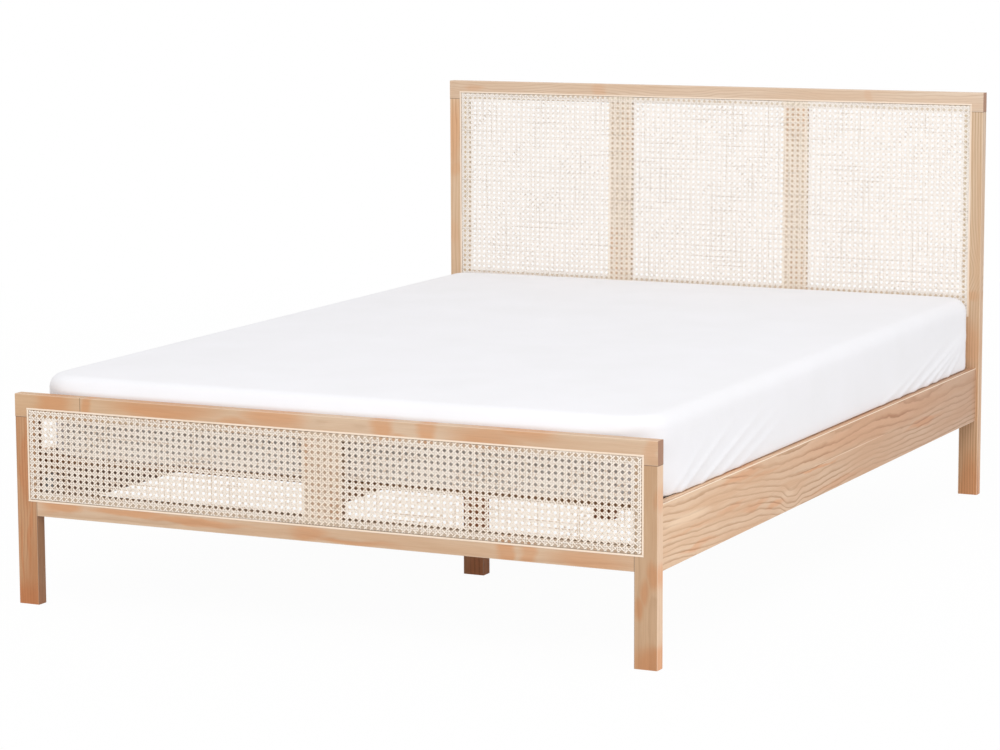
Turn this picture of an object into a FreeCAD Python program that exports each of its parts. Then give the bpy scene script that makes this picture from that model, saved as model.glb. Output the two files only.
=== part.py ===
import FreeCAD, Part
import Sketcher
import math
import os

# Double bed with a cane head board and a cane foot board, in millimetres.
# Z is up, the floor is Z = 0, the foot board faces -Y and the head board stands at +Y.
# X = 0, Y = 0 is the middle of the bed's outline on the floor.

doc = FreeCAD.newDocument("CaneBed")
V = FreeCAD.Vector

# Driving sizes

sizes = {
    # whole bed
    "bed_width": 1464.4,
    "inner_length": 2010.0,
    "leg_width": 48.8,
    "edge_ease": 1.5,
    # foot board
    "foot_depth": 26.6,
    "foot_height": 448.4,
    "foot_cap_height": 48.5,
    "foot_rail_base": 190.3,
    "foot_rail_height": 50.0,
    "foot_stile_width": 80.0,
    # head board
    "head_depth": 26.2,
    "head_height": 1001.6,
    "head_cap_height": 47.0,
    "panel_rail_base": 418.0,
    "panel_rail_height": 80.0,
    "lower_rail_base": 230.0,
    "lower_rail_height": 80.0,
    "head_stile_width": 56.0,
    "head_stile_spacing": 482.0,
    # stub tenons and their mortises
    "tenon_length": 20.0,
    "tenon_thickness": 10.0,
    "tenon_shoulder": 10.0,
    "mortise_play": 0.15,
    "mortise_end_play": 1.0,
    # cane panels and the splines that hold their edges
    "cane_thickness": 1.8,
    "cane_setback": 19.7,
    "head_cane_drop": 51.0,
    "cane_play": 0.2,
    "cane_rim": 9.0,
    "spline_width": 4.0,
    "spline_depth": 6.0,
    "spline_play": 0.1,
    "cane_tuck": 1.0,
    "spline_proud": 1.0,
    "spline_round": 0.9,
    # side rails and the ledges inside them
    "side_rail_base": 187.0,
    "side_rail_height": 132.0,
    "side_rail_thickness": 22.0,
    "side_rail_inset": 7.6,
    "ledge_size": 22.0,
    "ledge_end_gap": 0.5,
    # slats and their straps
    "slat_top": 312.0,
    "slat_thickness": 15.0,
    "slat_width": 80.0,
    "slat_end_gap": 3.0,
    "strap_width": 25.0,
    "strap_thickness": 1.2,
    "strap_spread": 700.0,
    # centre beam and the two legs under it
    "beam_width": 41.0,
    "beam_height": 34.0,
    "beam_end_gap": 0.5,
    "centre_leg_width": 48.4,
    "centre_leg_depth": 30.0,
    "centre_leg_bearing": 30.5,
    "cheek_drop": 2.0,
    "cheek_play": 0.1,
    "front_centre_leg_share": 0.321,
    "rear_centre_leg_share": 0.669,
    # steel angles in the corners and hangers at the beam's ends
    "plate": 3.0,
    "angle_height": 66.0,
    "angle_reach": 60.0,
    "angle_leg_flange": 18.0,
    "angle_drop": 8.0,
    "hanger_width": 76.0,
    "hanger_height": 35.0,
    "hanger_shelf": 30.0,
    "hanger_screw_spread": 60.0,
    # bolts and screws
    "bolt_radius": 3.0,
    "bolt_length": 18.0,
    "bolt_head_radius": 5.5,
    "bolt_head_height": 3.0,
    "rail_bolt_pitch": 36.0,
    "leg_bolt_pitch": 20.0,
    "leg_bolt_clear": 10.0,
    "bolt_flange_inset": 7.5,
    "bolt_rail_reach": 36.0,
    "cheek_bolt_length": 40.0,
    "cheek_bolt_pitch": 14.0,
    "bore_play": 0.1,
    "bore_end_play": 1.0,
    # mattress
    "mattress_side_gap": 1.6,
    "mattress_foot_gap": 10.0,
    "mattress_head_gap": 5.0,
    "mattress_height": 176.0,
    "mattress_corner": 80.0,
    "mattress_top_round": 28.0,
    "mattress_base_round": 26.0,
    "mattress_crown": 5.0,
    "mattress_crown_inset": 330.0,
    # fitted sheet
    "sheet_thickness": 0.9,
    "sheet_slack": 0.35,
    "sheet_hem": 34.0,
    "soft_gap": 0.4,
}
slatCount = 14
footCaneRows = 2
headCaneRows = 5
caneColumns = 14
headSides = 6
shankSides = 12
caneHoleShare = 0.56
octagonShare = math.sqrt(2) - 1
halfShare = 0.5

sheet = doc.addObject("Spreadsheet::Sheet", "Sizes")
for row, (alias, value) in enumerate(sizes.items(), start=1):
    sheet.set("A%d" % row, alias)
    sheet.set("B%d" % row, repr(value))
    sheet.setAlias("B%d" % row, alias)
doc.recompute()

# Places that follow from the driving sizes, written as expressions of the sheet's cells

halfWidth = "(Sizes.bed_width / 2)"
footFront = "(-(Sizes.foot_depth + Sizes.inner_length + Sizes.head_depth - Sizes.cane_thickness) / 2)"
footBack = "(%s + Sizes.foot_depth)" % footFront
headFront = "(%s + Sizes.inner_length)" % footBack
footLegTop = "(Sizes.foot_height - Sizes.foot_cap_height)"
headLegTop = "(Sizes.head_height - Sizes.head_cap_height)"
footRailTop = "(Sizes.foot_rail_base + Sizes.foot_rail_height)"
panelRailTop = "(Sizes.panel_rail_base + Sizes.panel_rail_height)"
legInner = "(%s - Sizes.leg_width)" % halfWidth
railInner = "(%s - Sizes.side_rail_inset - Sizes.side_rail_thickness)" % halfWidth
slatBase = "(Sizes.slat_top - Sizes.slat_thickness)"
ledgeBase = "(%s - Sizes.ledge_size)" % slatBase
beamBase = "(%s - Sizes.beam_height)" % slatBase
angleBase = "(%s - Sizes.angle_drop - Sizes.angle_height)" % ledgeBase

# The outline of a cane panel is the outer edge of its splines.
caneHalf = "(%s + Sizes.cane_setback)" % legInner
footCaneLow = "(%s - Sizes.cane_setback)" % footRailTop
footCaneHigh = "(%s + Sizes.cane_setback)" % footLegTop
headCaneLow = "(%s - Sizes.head_cane_drop)" % panelRailTop
headCaneHigh = "(%s + Sizes.cane_setback)" % headLegTop

parts = []
volumeChecks = []
axisPlanes = {"X": "YZ_Plane", "Y": "XZ_Plane", "Z": "XY_Plane"}


def number(expression):
    """Present value of an expression of the sheet's cells."""
    return float(sheet.evalExpression(str(expression)))


def bind(thing, path, expression):
    thing.setExpression(path, str(expression))


def place(thing, corner):
    for axis, expression in zip("xyz", corner):
        bind(thing, "Placement.Base." + axis, expression)


def rectangle(body, axis, name, corner, extent, level):
    """Sketch of a rectangle square to an axis; corner and extent are in the plane's own two directions."""
    sketch = body.newObject("Sketcher::SketchObject", name)
    plane = next(item for item in body.Origin.OriginFeatures if item.Role == axisPlanes[axis])
    sketch.AttachmentSupport = [(plane, "")]
    sketch.MapMode = "FlatFace"
    wide = number(extent[0])
    tall = number(extent[1])
    points = [V(0, 0, 0), V(wide, 0, 0), V(wide, tall, 0), V(0, tall, 0)]
    for start, end in zip(points, points[1:] + points[:1]):
        sketch.addGeometry(Part.LineSegment(start, end))
    for line in range(4):
        sketch.addConstraint(Sketcher.Constraint("Coincident", line, 2, (line + 1) % 4, 1))
    for line, direction in enumerate(["Horizontal", "Vertical", "Horizontal", "Vertical"]):
        sketch.addConstraint(Sketcher.Constraint(direction, line))
    sketch.addConstraint(Sketcher.Constraint("Coincident", 0, 1, -1, 1))
    across = sketch.addConstraint(Sketcher.Constraint("DistanceX", 0, 1, 0, 2, wide))
    up = sketch.addConstraint(Sketcher.Constraint("DistanceY", 1, 1, 1, 2, tall))
    bind(sketch, "Constraints[%d]" % across, extent[0])
    bind(sketch, "Constraints[%d]" % up, extent[1])
    bind(sketch, "AttachmentOffset.Base.x", corner[0])
    bind(sketch, "AttachmentOffset.Base.y", corner[1])
    # The XZ plane's normal points to -Y.
    bind(sketch, "AttachmentOffset.Base.z", "-(%s)" % level if axis == "Y" else level)
    return sketch


def feature(body, kind, sketch, length, axis, toward):
    """Pad or pocket of a sketch, toward +1 or -1 along its axis."""
    previous = body.Tip
    result = body.newObject("PartDesign::" + kind, sketch.Name + kind)
    result.Profile = sketch
    bind(result, "Length", length)
    normal = -1 if axis == "Y" else 1
    ahead = normal if kind == "Pad" else -normal
    result.Reversed = ahead != toward
    body.Tip = result
    volumeChecks.append((result, previous, kind))
    return result


def block(body, kind, name, axis, corner, extent, level, length, toward=1):
    return feature(body, kind, rectangle(body, axis, name, corner, extent, level), length, axis, toward)


def ease(body, axis, corners, size="Sizes.edge_ease", kind="Fillet"):
    """Round or bevel the long edges at the named corners, given as pairs of low or high."""
    doc.recompute()
    base = body.Tip
    box = base.Shape.BoundBox
    low = [box.XMin, box.YMin, box.ZMin]
    high = [box.XMax, box.YMax, box.ZMax]
    along = "XYZ".index(axis)
    others = [i for i in range(3) if i != along]
    names = []
    for index, edge in enumerate(base.Shape.Edges, start=1):
        middle = edge.CenterOfMass
        spots = ["low" if abs(middle[i] - low[i]) < abs(middle[i] - high[i]) else "high" for i in others]
        isLong = abs(edge.tangentAt(edge.FirstParameter)[along]) > halfShare
        if isLong and tuple(spots) in corners:
            names.append("Edge%d" % index)
    eased = body.newObject("PartDesign::" + kind, body.Name + "Ease")
    eased.Base = (base, names)
    bind(eased, "Radius" if kind == "Fillet" else "Size", size)
    body.Tip = eased


def board(name, corner, extent, axis, corners=(), size="Sizes.edge_ease", kind="Fillet"):
    """Straight board: its section padded along its length, with the chosen long edges eased."""
    body = doc.addObject("PartDesign::Body", name)
    body.Label = name
    place(body, corner)
    along = "XYZ".index(axis)
    section = [extent[i] for i in range(3) if i != along]
    block(body, "Pad", name + "Section", axis, (0, 0), section, 0, extent[along])
    if corners:
        ease(body, axis, corners, size, kind)
    parts.append(body)
    return body


allCorners = (("low", "low"), ("low", "high"), ("high", "low"), ("high", "high"))


def tenons(body, axis, extent, ends):
    """Stub tenons at the low end, the high end or both: one pad that runs through the board."""
    along = "XYZ".index(axis)
    depth = extent[1]
    cheek = "((%s - Sizes.tenon_thickness) / 2)" % depth
    wide = extent[0] if axis == "Z" else extent[2]
    stub = "(%s - 2 * Sizes.tenon_shoulder)" % wide
    low = "(-Sizes.tenon_length)" if "low" in ends else "0"
    length = "(%s + %d * Sizes.tenon_length)" % (extent[along], len(ends))
    if axis == "Z":
        block(body, "Pad", body.Name + "Tenon", axis, ("Sizes.tenon_shoulder", cheek),
              (stub, "Sizes.tenon_thickness"), low, length)
    else:
        block(body, "Pad", body.Name + "Tenon", axis, (cheek, "Sizes.tenon_shoulder"),
              ("Sizes.tenon_thickness", stub), low, length)


def mortise(body, axis, depth, start, wide, level, toward, name):
    """Slot for a stub tenon, in the face at a level of the axis; start and wide are the tenon's board's."""
    slotDepth = "(Sizes.tenon_length + Sizes.mortise_end_play)"
    cheek = "((%s - Sizes.tenon_thickness) / 2 - Sizes.mortise_play)" % depth
    thick = "(Sizes.tenon_thickness + 2 * Sizes.mortise_play)"
    first = "(%s + Sizes.tenon_shoulder - Sizes.mortise_play)" % start
    across = "(%s - 2 * Sizes.tenon_shoulder + 2 * Sizes.mortise_play)" % wide
    if axis == "Z":
        begin, extent = (first, cheek), (across, thick)
    else:
        begin, extent = (cheek, first), (thick, across)
    block(body, "Pocket", body.Name + name, axis, begin, extent, level, slotDepth, toward)


def groove(body, corner, ring, strips):
    """Grooves for the splines in a board's front face; ring holds the panel's lowest and highest place."""
    side = "(%s + Sizes.spline_play)" % caneHalf
    wide = "(Sizes.spline_width + 2 * Sizes.spline_play + Sizes.cane_tuck)"
    bottom = "(%s - Sizes.spline_play)" % ring[0]
    top = "(%s + Sizes.spline_play)" % ring[1]
    spots = {
        "left": (("-" + side, bottom), (wide, "(%s - %s)" % (top, bottom))),
        "right": (("(%s - %s)" % (side, wide), bottom), (wide, "(%s - %s)" % (top, bottom))),
        "bottom": (("-" + side, bottom), ("(2 * %s)" % side, wide)),
        "top": (("-" + side, "(%s - %s)" % (top, wide)), ("(2 * %s)" % side, wide)),
    }
    for strip in strips:
        start, extent = spots[strip]
        begin = ("(%s - %s)" % (start[0], corner[0]), "(%s - %s)" % (start[1], corner[2]))
        block(body, "Pocket", body.Name + strip.capitalize(), "Y", begin, extent, 0, "Sizes.spline_depth")


def bores(body, axis, spots, level, depth, toward, name):
    """Blind round holes for bolt shanks, as one pocket of circles."""
    sketch = body.newObject("Sketcher::SketchObject", body.Name + name)
    plane = next(item for item in body.Origin.OriginFeatures if item.Role == axisPlanes[axis])
    sketch.AttachmentSupport = [(plane, "")]
    sketch.MapMode = "FlatFace"
    radius = "(Sizes.bolt_radius + Sizes.bore_play)"
    for index, (first, second) in enumerate(spots):
        sketch.addGeometry(Part.Circle(V(number(first), number(second), 0), V(0, 0, 1), number(radius)))
        across = sketch.addConstraint(Sketcher.Constraint("DistanceX", -1, 1, index, 3, number(first)))
        up = sketch.addConstraint(Sketcher.Constraint("DistanceY", -1, 1, index, 3, number(second)))
        size = sketch.addConstraint(Sketcher.Constraint("Radius", index, number(radius)))
        bind(sketch, "Constraints[%d]" % across, first)
        bind(sketch, "Constraints[%d]" % up, second)
        bind(sketch, "Constraints[%d]" % size, radius)
    bind(sketch, "AttachmentOffset.Base.z", "-(%s)" % level if axis == "Y" else level)
    feature(body, "Pocket", sketch, depth, axis, toward)


# Heights of the bolts in each corner angle; those in a leg pass clear of the tenon of its lowest rail.
angleMiddle = "(%s + Sizes.angle_height / 2)" % angleBase
railBoltHeights = ["(%s %s Sizes.rail_bolt_pitch / 2)" % (angleMiddle, sign) for sign in "-+"]
aboveTenon = "(%s - Sizes.tenon_shoulder + Sizes.leg_bolt_clear)" % footRailTop
belowTenon = "(Sizes.lower_rail_base + Sizes.tenon_shoulder - Sizes.leg_bolt_clear)"
legBoltHeights = {
    "foot": [aboveTenon, "(%s + Sizes.leg_bolt_pitch)" % aboveTenon],
    "head": ["(%s - Sizes.leg_bolt_pitch)" % belowTenon, belowTenon],
}
legBoltX = "(%s - Sizes.angle_leg_flange + Sizes.bolt_flange_inset)" % railInner
woodBore = "(Sizes.bolt_length - Sizes.plate + Sizes.bore_end_play)"


def leg(name, side, front, depth, top, ring, joints, end, boltLevel, boltToward):
    """Corner leg, capped by the top rail, with its mortises, spline groove and two bolt holes."""
    left = "(-%s)" % halfWidth if side < 0 else legInner
    corner = (left, front, 0)
    extent = ("Sizes.leg_width", depth, top)
    outer = "low" if side < 0 else "high"
    body = board(name, corner, extent, "Z", ((outer, "low"), (outer, "high")))
    tenons(body, "Z", extent, ["high"])
    inner = "Sizes.leg_width" if side < 0 else 0
    for index, (base, wide) in enumerate(joints):
        mortise(body, "X", depth, base, wide, inner, side, "Mortise%d" % index)
    groove(body, corner, ring, ["left" if side < 0 else "right", "bottom"])
    across = "(%s%s - %s)" % ("-" if side < 0 else "", legBoltX, left)
    bores(body, "Y", [(across, z) for z in legBoltHeights[end]], boltLevel, woodBore, boltToward, "Bores")


# Foot board

footRing = (footCaneLow, footCaneHigh)
footJoints = [("Sizes.foot_rail_base", "Sizes.foot_rail_height")]
for name, side in (("footboard_leg_left", -1), ("footboard_leg_right", 1)):
    leg(name, side, footFront, "Sizes.foot_depth", footLegTop, footRing, footJoints, "foot",
        "Sizes.foot_depth", -1)


def cap(name, front, depth, base, height, stiles, ring):
    """Top rail that caps the legs, with the mortises for the legs and stiles in its underside."""
    corner = ("(-%s)" % halfWidth, front, base)
    body = board(name, corner, ("Sizes.bed_width", depth, height), "X", (("low", "high"), ("high", "high")))
    mortise(body, "Z", depth, 0, "Sizes.leg_width", 0, 1, "LegMortiseLeft")
    rightLeg = "(Sizes.bed_width - Sizes.leg_width)"
    mortise(body, "Z", depth, rightLeg, "Sizes.leg_width", 0, 1, "LegMortiseRight")
    for index, (middle, wide) in enumerate(stiles):
        start = "(%s + %s - %s / 2)" % (halfWidth, middle, wide)
        mortise(body, "Z", depth, start, wide, 0, 1, "StileMortise%d" % index)
    groove(body, corner, ring, ["top", "left", "right"])


def railBetweenLegs(name, front, depth, base, height, stiles, ring, strips, corners):
    """Rail between the legs, with a tenon at each end and the mortises for the stiles in its top."""
    corner = ("(-%s)" % legInner, front, base)
    extent = ("(2 * %s)" % legInner, depth, height)
    body = board(name, corner, extent, "X", corners)
    tenons(body, "X", extent, ["low", "high"])
    for index, (middle, wide) in enumerate(stiles):
        start = "(%s + %s - %s / 2)" % (legInner, middle, wide)
        mortise(body, "Z", depth, start, wide, height, -1, "StileMortise%d" % index)
    if strips:
        groove(body, corner, ring, strips)
    return body


def stile(name, front, depth, middle, wide, base, top):
    """Upright behind the cane, with a tenon at both ends."""
    extent = (wide, depth, "(%s - %s)" % (top, base))
    body = board(name, ("(%s - %s / 2)" % (middle, wide), front, base), extent, "Z")
    tenons(body, "Z", extent, ["low", "high"])
    return body


footStiles = [("0", "Sizes.foot_stile_width")]
cap("footboard_top_rail", footFront, "Sizes.foot_depth", footLegTop, "Sizes.foot_cap_height", footStiles,
    footRing)
railBetweenLegs("footboard_bottom_rail", footFront, "Sizes.foot_depth", "Sizes.foot_rail_base",
                "Sizes.foot_rail_height", footStiles, footRing, ["bottom"], (("low", "low"), ("high", "low")))
stile("footboard_centre_stile", footFront, "Sizes.foot_depth", "0", "Sizes.foot_stile_width", footRailTop,
      footLegTop)

# Head board

headRing = (headCaneLow, headCaneHigh)
headJoints = [("Sizes.%s_base" % rail, "Sizes.%s_height" % rail) for rail in ("lower_rail", "panel_rail")]
for name, side in (("headboard_leg_left", -1), ("headboard_leg_right", 1)):
    leg(name, side, headFront, "Sizes.head_depth", headLegTop, headRing, headJoints, "head", 0, 1)
stileOffset = "(Sizes.head_stile_spacing / 2)"
headStiles = [("-" + stileOffset, "Sizes.head_stile_width"), (stileOffset, "Sizes.head_stile_width")]
cap("headboard_top_rail", headFront, "Sizes.head_depth", headLegTop, "Sizes.head_cap_height", headStiles,
    headRing)
railBetweenLegs("headboard_panel_rail", headFront, "Sizes.head_depth", "Sizes.panel_rail_base",
                "Sizes.panel_rail_height", headStiles, headRing, ["bottom"], (("low", "low"), ("high", "low")))
railBetweenLegs("headboard_lower_rail", headFront, "Sizes.head_depth", "Sizes.lower_rail_base",
                "Sizes.lower_rail_height", [], None, [], (("high", "low"), ("high", "high")))
for name, (middle, wide) in zip(("headboard_stile_left", "headboard_stile_right"), headStiles):
    stile(name, headFront, "Sizes.head_depth", middle, wide, panelRailTop, headLegTop)


# Cane panels: one sheet each, with a net of eight-sided gaps

def cane(name, front, low, high, rows):
    half = number("%s - Sizes.spline_width - Sizes.spline_play - Sizes.cane_play" % caneHalf)
    bottom = number("%s + Sizes.spline_width + Sizes.spline_play + Sizes.cane_play" % low)
    top = number("%s - Sizes.spline_width - Sizes.spline_play - Sizes.cane_play" % high)
    y = number(front)
    rim = number("Sizes.cane_rim")
    pitchX = 2 * (half - rim) / caneColumns
    pitchZ = (top - bottom - 2 * rim) / rows
    outline = [V(-half, y, bottom), V(half, y, bottom), V(half, y, top), V(-half, y, top), V(-half, y, bottom)]
    wires = [Part.makePolygon(outline)]
    radiusX = pitchX * caneHoleShare / 2
    radiusZ = pitchZ * caneHoleShare / 2
    turns = [(1, octagonShare), (octagonShare, 1), (-octagonShare, 1), (-1, octagonShare)]
    turns += [(-across, -up) for across, up in turns]
    for column in range(caneColumns):
        for line in range(rows):
            x = -half + rim + pitchX * (column + 1 / 2)
            z = bottom + rim + pitchZ * (line + 1 / 2)
            corners = [V(x + radiusX * across, y, z + radiusZ * up) for across, up in turns]
            wires.append(Part.makePolygon(corners + corners[:1]))
    net = doc.addObject("Part::Feature", name + "_net")
    net.Shape = Part.makeFace(wires, "Part::FaceMakerBullseye")
    panel = doc.addObject("Part::Extrusion", name)
    panel.Base = net
    panel.DirMode = "Custom"
    panel.Dir = V(0, -1, 0)
    bind(panel, "LengthFwd", "Sizes.cane_thickness")
    panel.Solid = True
    panel.Label = name
    parts.append(panel)


cane("footboard_cane", footFront, footCaneLow, footCaneHigh, footCaneRows)
cane("headboard_cane", headFront, headCaneLow, headCaneHigh, headCaneRows)


# Splines: reeds pressed into the grooves over the edges of the cane

def splines(boardName, front, low, high):
    start = "(%s - Sizes.spline_proud)" % front
    deep = "(Sizes.spline_depth + Sizes.spline_proud)"
    length = "(2 * %s)" % caneHalf
    width = "Sizes.spline_width"
    for end, base in (("bottom", low), ("top", "(%s - %s)" % (high, width))):
        board("%s_spline_%s" % (boardName, end), ("(-%s)" % caneHalf, start, base), (length, deep, width),
              "X", (("low", "low"), ("low", "high")), "Sizes.spline_round")
    upright = "(%s - %s - 2 * %s)" % (high, low, width)
    for end, left in (("left", "(-%s)" % caneHalf), ("right", "(%s - %s)" % (caneHalf, width))):
        corner = (left, start, "(%s + %s)" % (low, width))
        board("%s_spline_%s" % (boardName, end), corner, (width, deep, upright), "Z",
              (("low", "low"), ("high", "low")), "Sizes.spline_round")


splines("footboard", footFront, footCaneLow, footCaneHigh)
splines("headboard", headFront, headCaneLow, headCaneHigh)


# Side rails with their slat ledges, and the steel angles that join them to the legs

def sideRail(name, side):
    left = railInner if side > 0 else "(-%s - Sizes.side_rail_thickness)" % railInner
    extent = ("Sizes.side_rail_thickness", "Sizes.inner_length", "Sizes.side_rail_height")
    body = board(name, (left, footBack, "Sizes.side_rail_base"), extent, "Y", allCorners)
    level = 0 if side > 0 else "Sizes.side_rail_thickness"
    farEnd = "(Sizes.inner_length - Sizes.bolt_rail_reach)"
    heights = ["(%s - Sizes.side_rail_base)" % z for z in railBoltHeights]
    spots = [(y, z) for y in ("Sizes.bolt_rail_reach", farEnd) for z in heights]
    bores(body, "X", spots, level, woodBore, side, "Bores")


def ledge(name, side):
    left = "(%s - Sizes.ledge_size)" % railInner if side > 0 else "(-%s)" % railInner
    length = "(Sizes.inner_length - 2 * Sizes.ledge_end_gap)"
    corner = (left, "(%s + Sizes.ledge_end_gap)" % footBack, ledgeBase)
    inner = "low" if side > 0 else "high"
    extent = ("Sizes.ledge_size", length, "Sizes.ledge_size")
    board(name, corner, extent, "Y", ((inner, "low"), (inner, "high")))


for suffix, side in (("left", -1), ("right", 1)):
    sideRail("side_rail_" + suffix, side)
    ledge("slat_ledge_" + suffix, side)


def cornerAngle(name, side, end, endName):
    """Steel angle inside a corner: one flange on the rail, the other on the leg."""
    body = doc.addObject("PartDesign::Body", name)
    body.Label = name
    y = footBack if end < 0 else headFront
    place(body, ("%s%s" % ("-" if side < 0 else "", railInner), y, angleBase))
    inward = -side
    back = -end
    railFlange = ("(-Sizes.plate)" if side > 0 else 0, 0 if back > 0 else "(-Sizes.angle_reach)")
    block(body, "Pad", name + "Rail", "Z", railFlange, ("Sizes.plate", "Sizes.angle_reach"), 0,
          "Sizes.angle_height")
    legFlange = ("(-Sizes.angle_leg_flange)" if side > 0 else 0, 0 if back > 0 else "(-Sizes.plate)")
    block(body, "Pad", name + "Leg", "Z", legFlange, ("Sizes.angle_leg_flange", "Sizes.plate"), 0,
          "Sizes.angle_height")
    reach = "(%d * Sizes.bolt_rail_reach)" % back
    railSpots = [(reach, "(%s - %s)" % (z, angleBase)) for z in railBoltHeights]
    bores(body, "X", railSpots, "(%d * Sizes.plate)" % inward, "Sizes.plate", side, "RailBores")
    across = "(%d * (Sizes.angle_leg_flange - Sizes.bolt_flange_inset))" % inward
    legSpots = [(across, "(%s - %s)" % (z, angleBase)) for z in legBoltHeights[endName]]
    bores(body, "Y", legSpots, "(%d * Sizes.plate)" % back, "Sizes.plate", end, "LegBores")
    parts.append(body)


for endName, end in (("foot", -1), ("head", 1)):
    for suffix, side in (("left", -1), ("right", 1)):
        cornerAngle("corner_angle_%s_%s" % (endName, suffix), side, end, endName)

# Centre beam, its end hangers and its two notched legs

beamLength = "(Sizes.inner_length - 2 * Sizes.plate - 2 * Sizes.beam_end_gap)"
beamStart = "(%s + Sizes.plate + Sizes.beam_end_gap)" % footBack
beamHalf = "(Sizes.beam_width / 2)"
beamExtent = ("Sizes.beam_width", beamLength, "Sizes.beam_height")
beam = board("centre_beam", ("-" + beamHalf, beamStart, beamBase), beamExtent, "Y",
             (("low", "low"), ("high", "low")))
cheekHeights = ["(Sizes.beam_height / 2 %s Sizes.cheek_bolt_pitch / 2)" % sign for sign in "-+"]
cheekWidth = "(Sizes.centre_leg_width - Sizes.centre_leg_bearing)"
legPlaces = {
    "front_centre_leg": "(Sizes.front_centre_leg_share * Sizes.inner_length)",
    "rear_centre_leg": "(Sizes.rear_centre_leg_share * Sizes.inner_length)",
}
cheekSpots = []
for y in legPlaces.values():
    cheekSpots += [("(%s - Sizes.plate - Sizes.beam_end_gap)" % y, z) for z in cheekHeights]
cheekBore = "(Sizes.cheek_bolt_length - %s + Sizes.bore_end_play)" % cheekWidth
bores(beam, "X", cheekSpots, "Sizes.beam_width", cheekBore, -1, "Bores")


def centreLeg(name, middle):
    left = "(%s + Sizes.cheek_play - Sizes.centre_leg_bearing)" % beamHalf
    height = "(%s - Sizes.cheek_drop)" % slatBase
    corner = (left, "(%s + %s - Sizes.centre_leg_depth / 2)" % (footBack, middle), 0)
    body = board(name, corner, ("Sizes.centre_leg_width", "Sizes.centre_leg_depth", height), "Z")
    notch = ("Sizes.centre_leg_bearing", "Sizes.centre_leg_depth")
    block(body, "Pocket", name + "Notch", "Z", (0, 0), notch, beamBase, "Sizes.beam_height")
    spots = [("(Sizes.centre_leg_depth / 2)", "(%s + %s)" % (beamBase, z)) for z in cheekHeights]
    bores(body, "X", spots, "Sizes.centre_leg_width", cheekWidth, -1, "Bores")


for name, middle in legPlaces.items():
    centreLeg(name, middle)

hangerSide = "(Sizes.hanger_screw_spread / 2)"
hangerHeight = "(Sizes.hanger_height / 2)"


def hanger(name, end):
    """Steel plate behind a beam end, with the shelf that the beam rests on."""
    body = doc.addObject("PartDesign::Body", name)
    body.Label = name
    y = footBack if end < 0 else headFront
    place(body, (0, y, "(%s - Sizes.plate)" % beamBase))
    start = 0 if end < 0 else "(-Sizes.plate)"
    plateSize = ("Sizes.hanger_width", "Sizes.hanger_height")
    block(body, "Pad", name + "Plate", "Y", ("(-Sizes.hanger_width / 2)", 0), plateSize, start, "Sizes.plate")
    shelf = ("(-%s)" % beamHalf, 0 if end < 0 else "(-Sizes.hanger_shelf)")
    block(body, "Pad", name + "Shelf", "Z", shelf, ("Sizes.beam_width", "Sizes.hanger_shelf"), 0, "Sizes.plate")
    spots = [("(%d * %s)" % (side, hangerSide), hangerHeight) for side in (-1, 1)]
    bores(body, "Y", spots, "(%d * Sizes.plate)" % -end, "Sizes.plate", end, "Bores")
    parts.append(body)


hanger("beam_hanger_foot", -1)
hanger("beam_hanger_head", 1)
hangerLevel = "(%s - Sizes.plate + %s)" % (beamBase, hangerHeight)
stileBody = doc.getObject("footboard_centre_stile")
stileLevel = "(%s - %s)" % (hangerLevel, footRailTop)
stileSpots = [("(Sizes.foot_stile_width / 2 + %d * %s)" % (side, hangerSide), stileLevel) for side in (-1, 1)]
bores(stileBody, "Y", stileSpots, "Sizes.foot_depth", woodBore, -1, "HangerBores")
railBody = doc.getObject("headboard_lower_rail")
railSpots = [("(%s + %d * %s)" % (legInner, side, hangerSide), "(%s - Sizes.lower_rail_base)" % hangerLevel)
             for side in (-1, 1)]
bores(railBody, "Y", railSpots, 0, woodBore, 1, "HangerBores")

# Slats on the ledges and the beam, tied by two straps stapled under them

slatPitch = "(Sizes.inner_length / %d)" % slatCount
slatHalf = "(%s - Sizes.slat_end_gap)" % railInner
slatMiddles = ["(%s + %s * %d / 2)" % (footBack, slatPitch, 2 * index + 1) for index in range(slatCount)]
for index, middle in enumerate(slatMiddles, start=1):
    corner = ("(-%s)" % slatHalf, "(%s - Sizes.slat_width / 2)" % middle, slatBase)
    extent = ("(2 * %s)" % slatHalf, "Sizes.slat_width", "Sizes.slat_thickness")
    board("slat_%02d" % index, corner, extent, "X", allCorners, kind="Chamfer")
for suffix, side in (("left", -1), ("right", 1)):
    left = "(%d * Sizes.strap_spread / 2 - Sizes.strap_width / 2)" % side
    corner = (left, slatMiddles[0], "(%s - Sizes.strap_thickness)" % slatBase)
    length = "(%s - %s)" % (slatMiddles[-1], slatMiddles[0])
    board("slat_strap_" + suffix, corner, ("Sizes.strap_width", length, "Sizes.strap_thickness"), "Y")


# Bolts: a shank and a six-sided head each, one node for each kind

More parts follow.
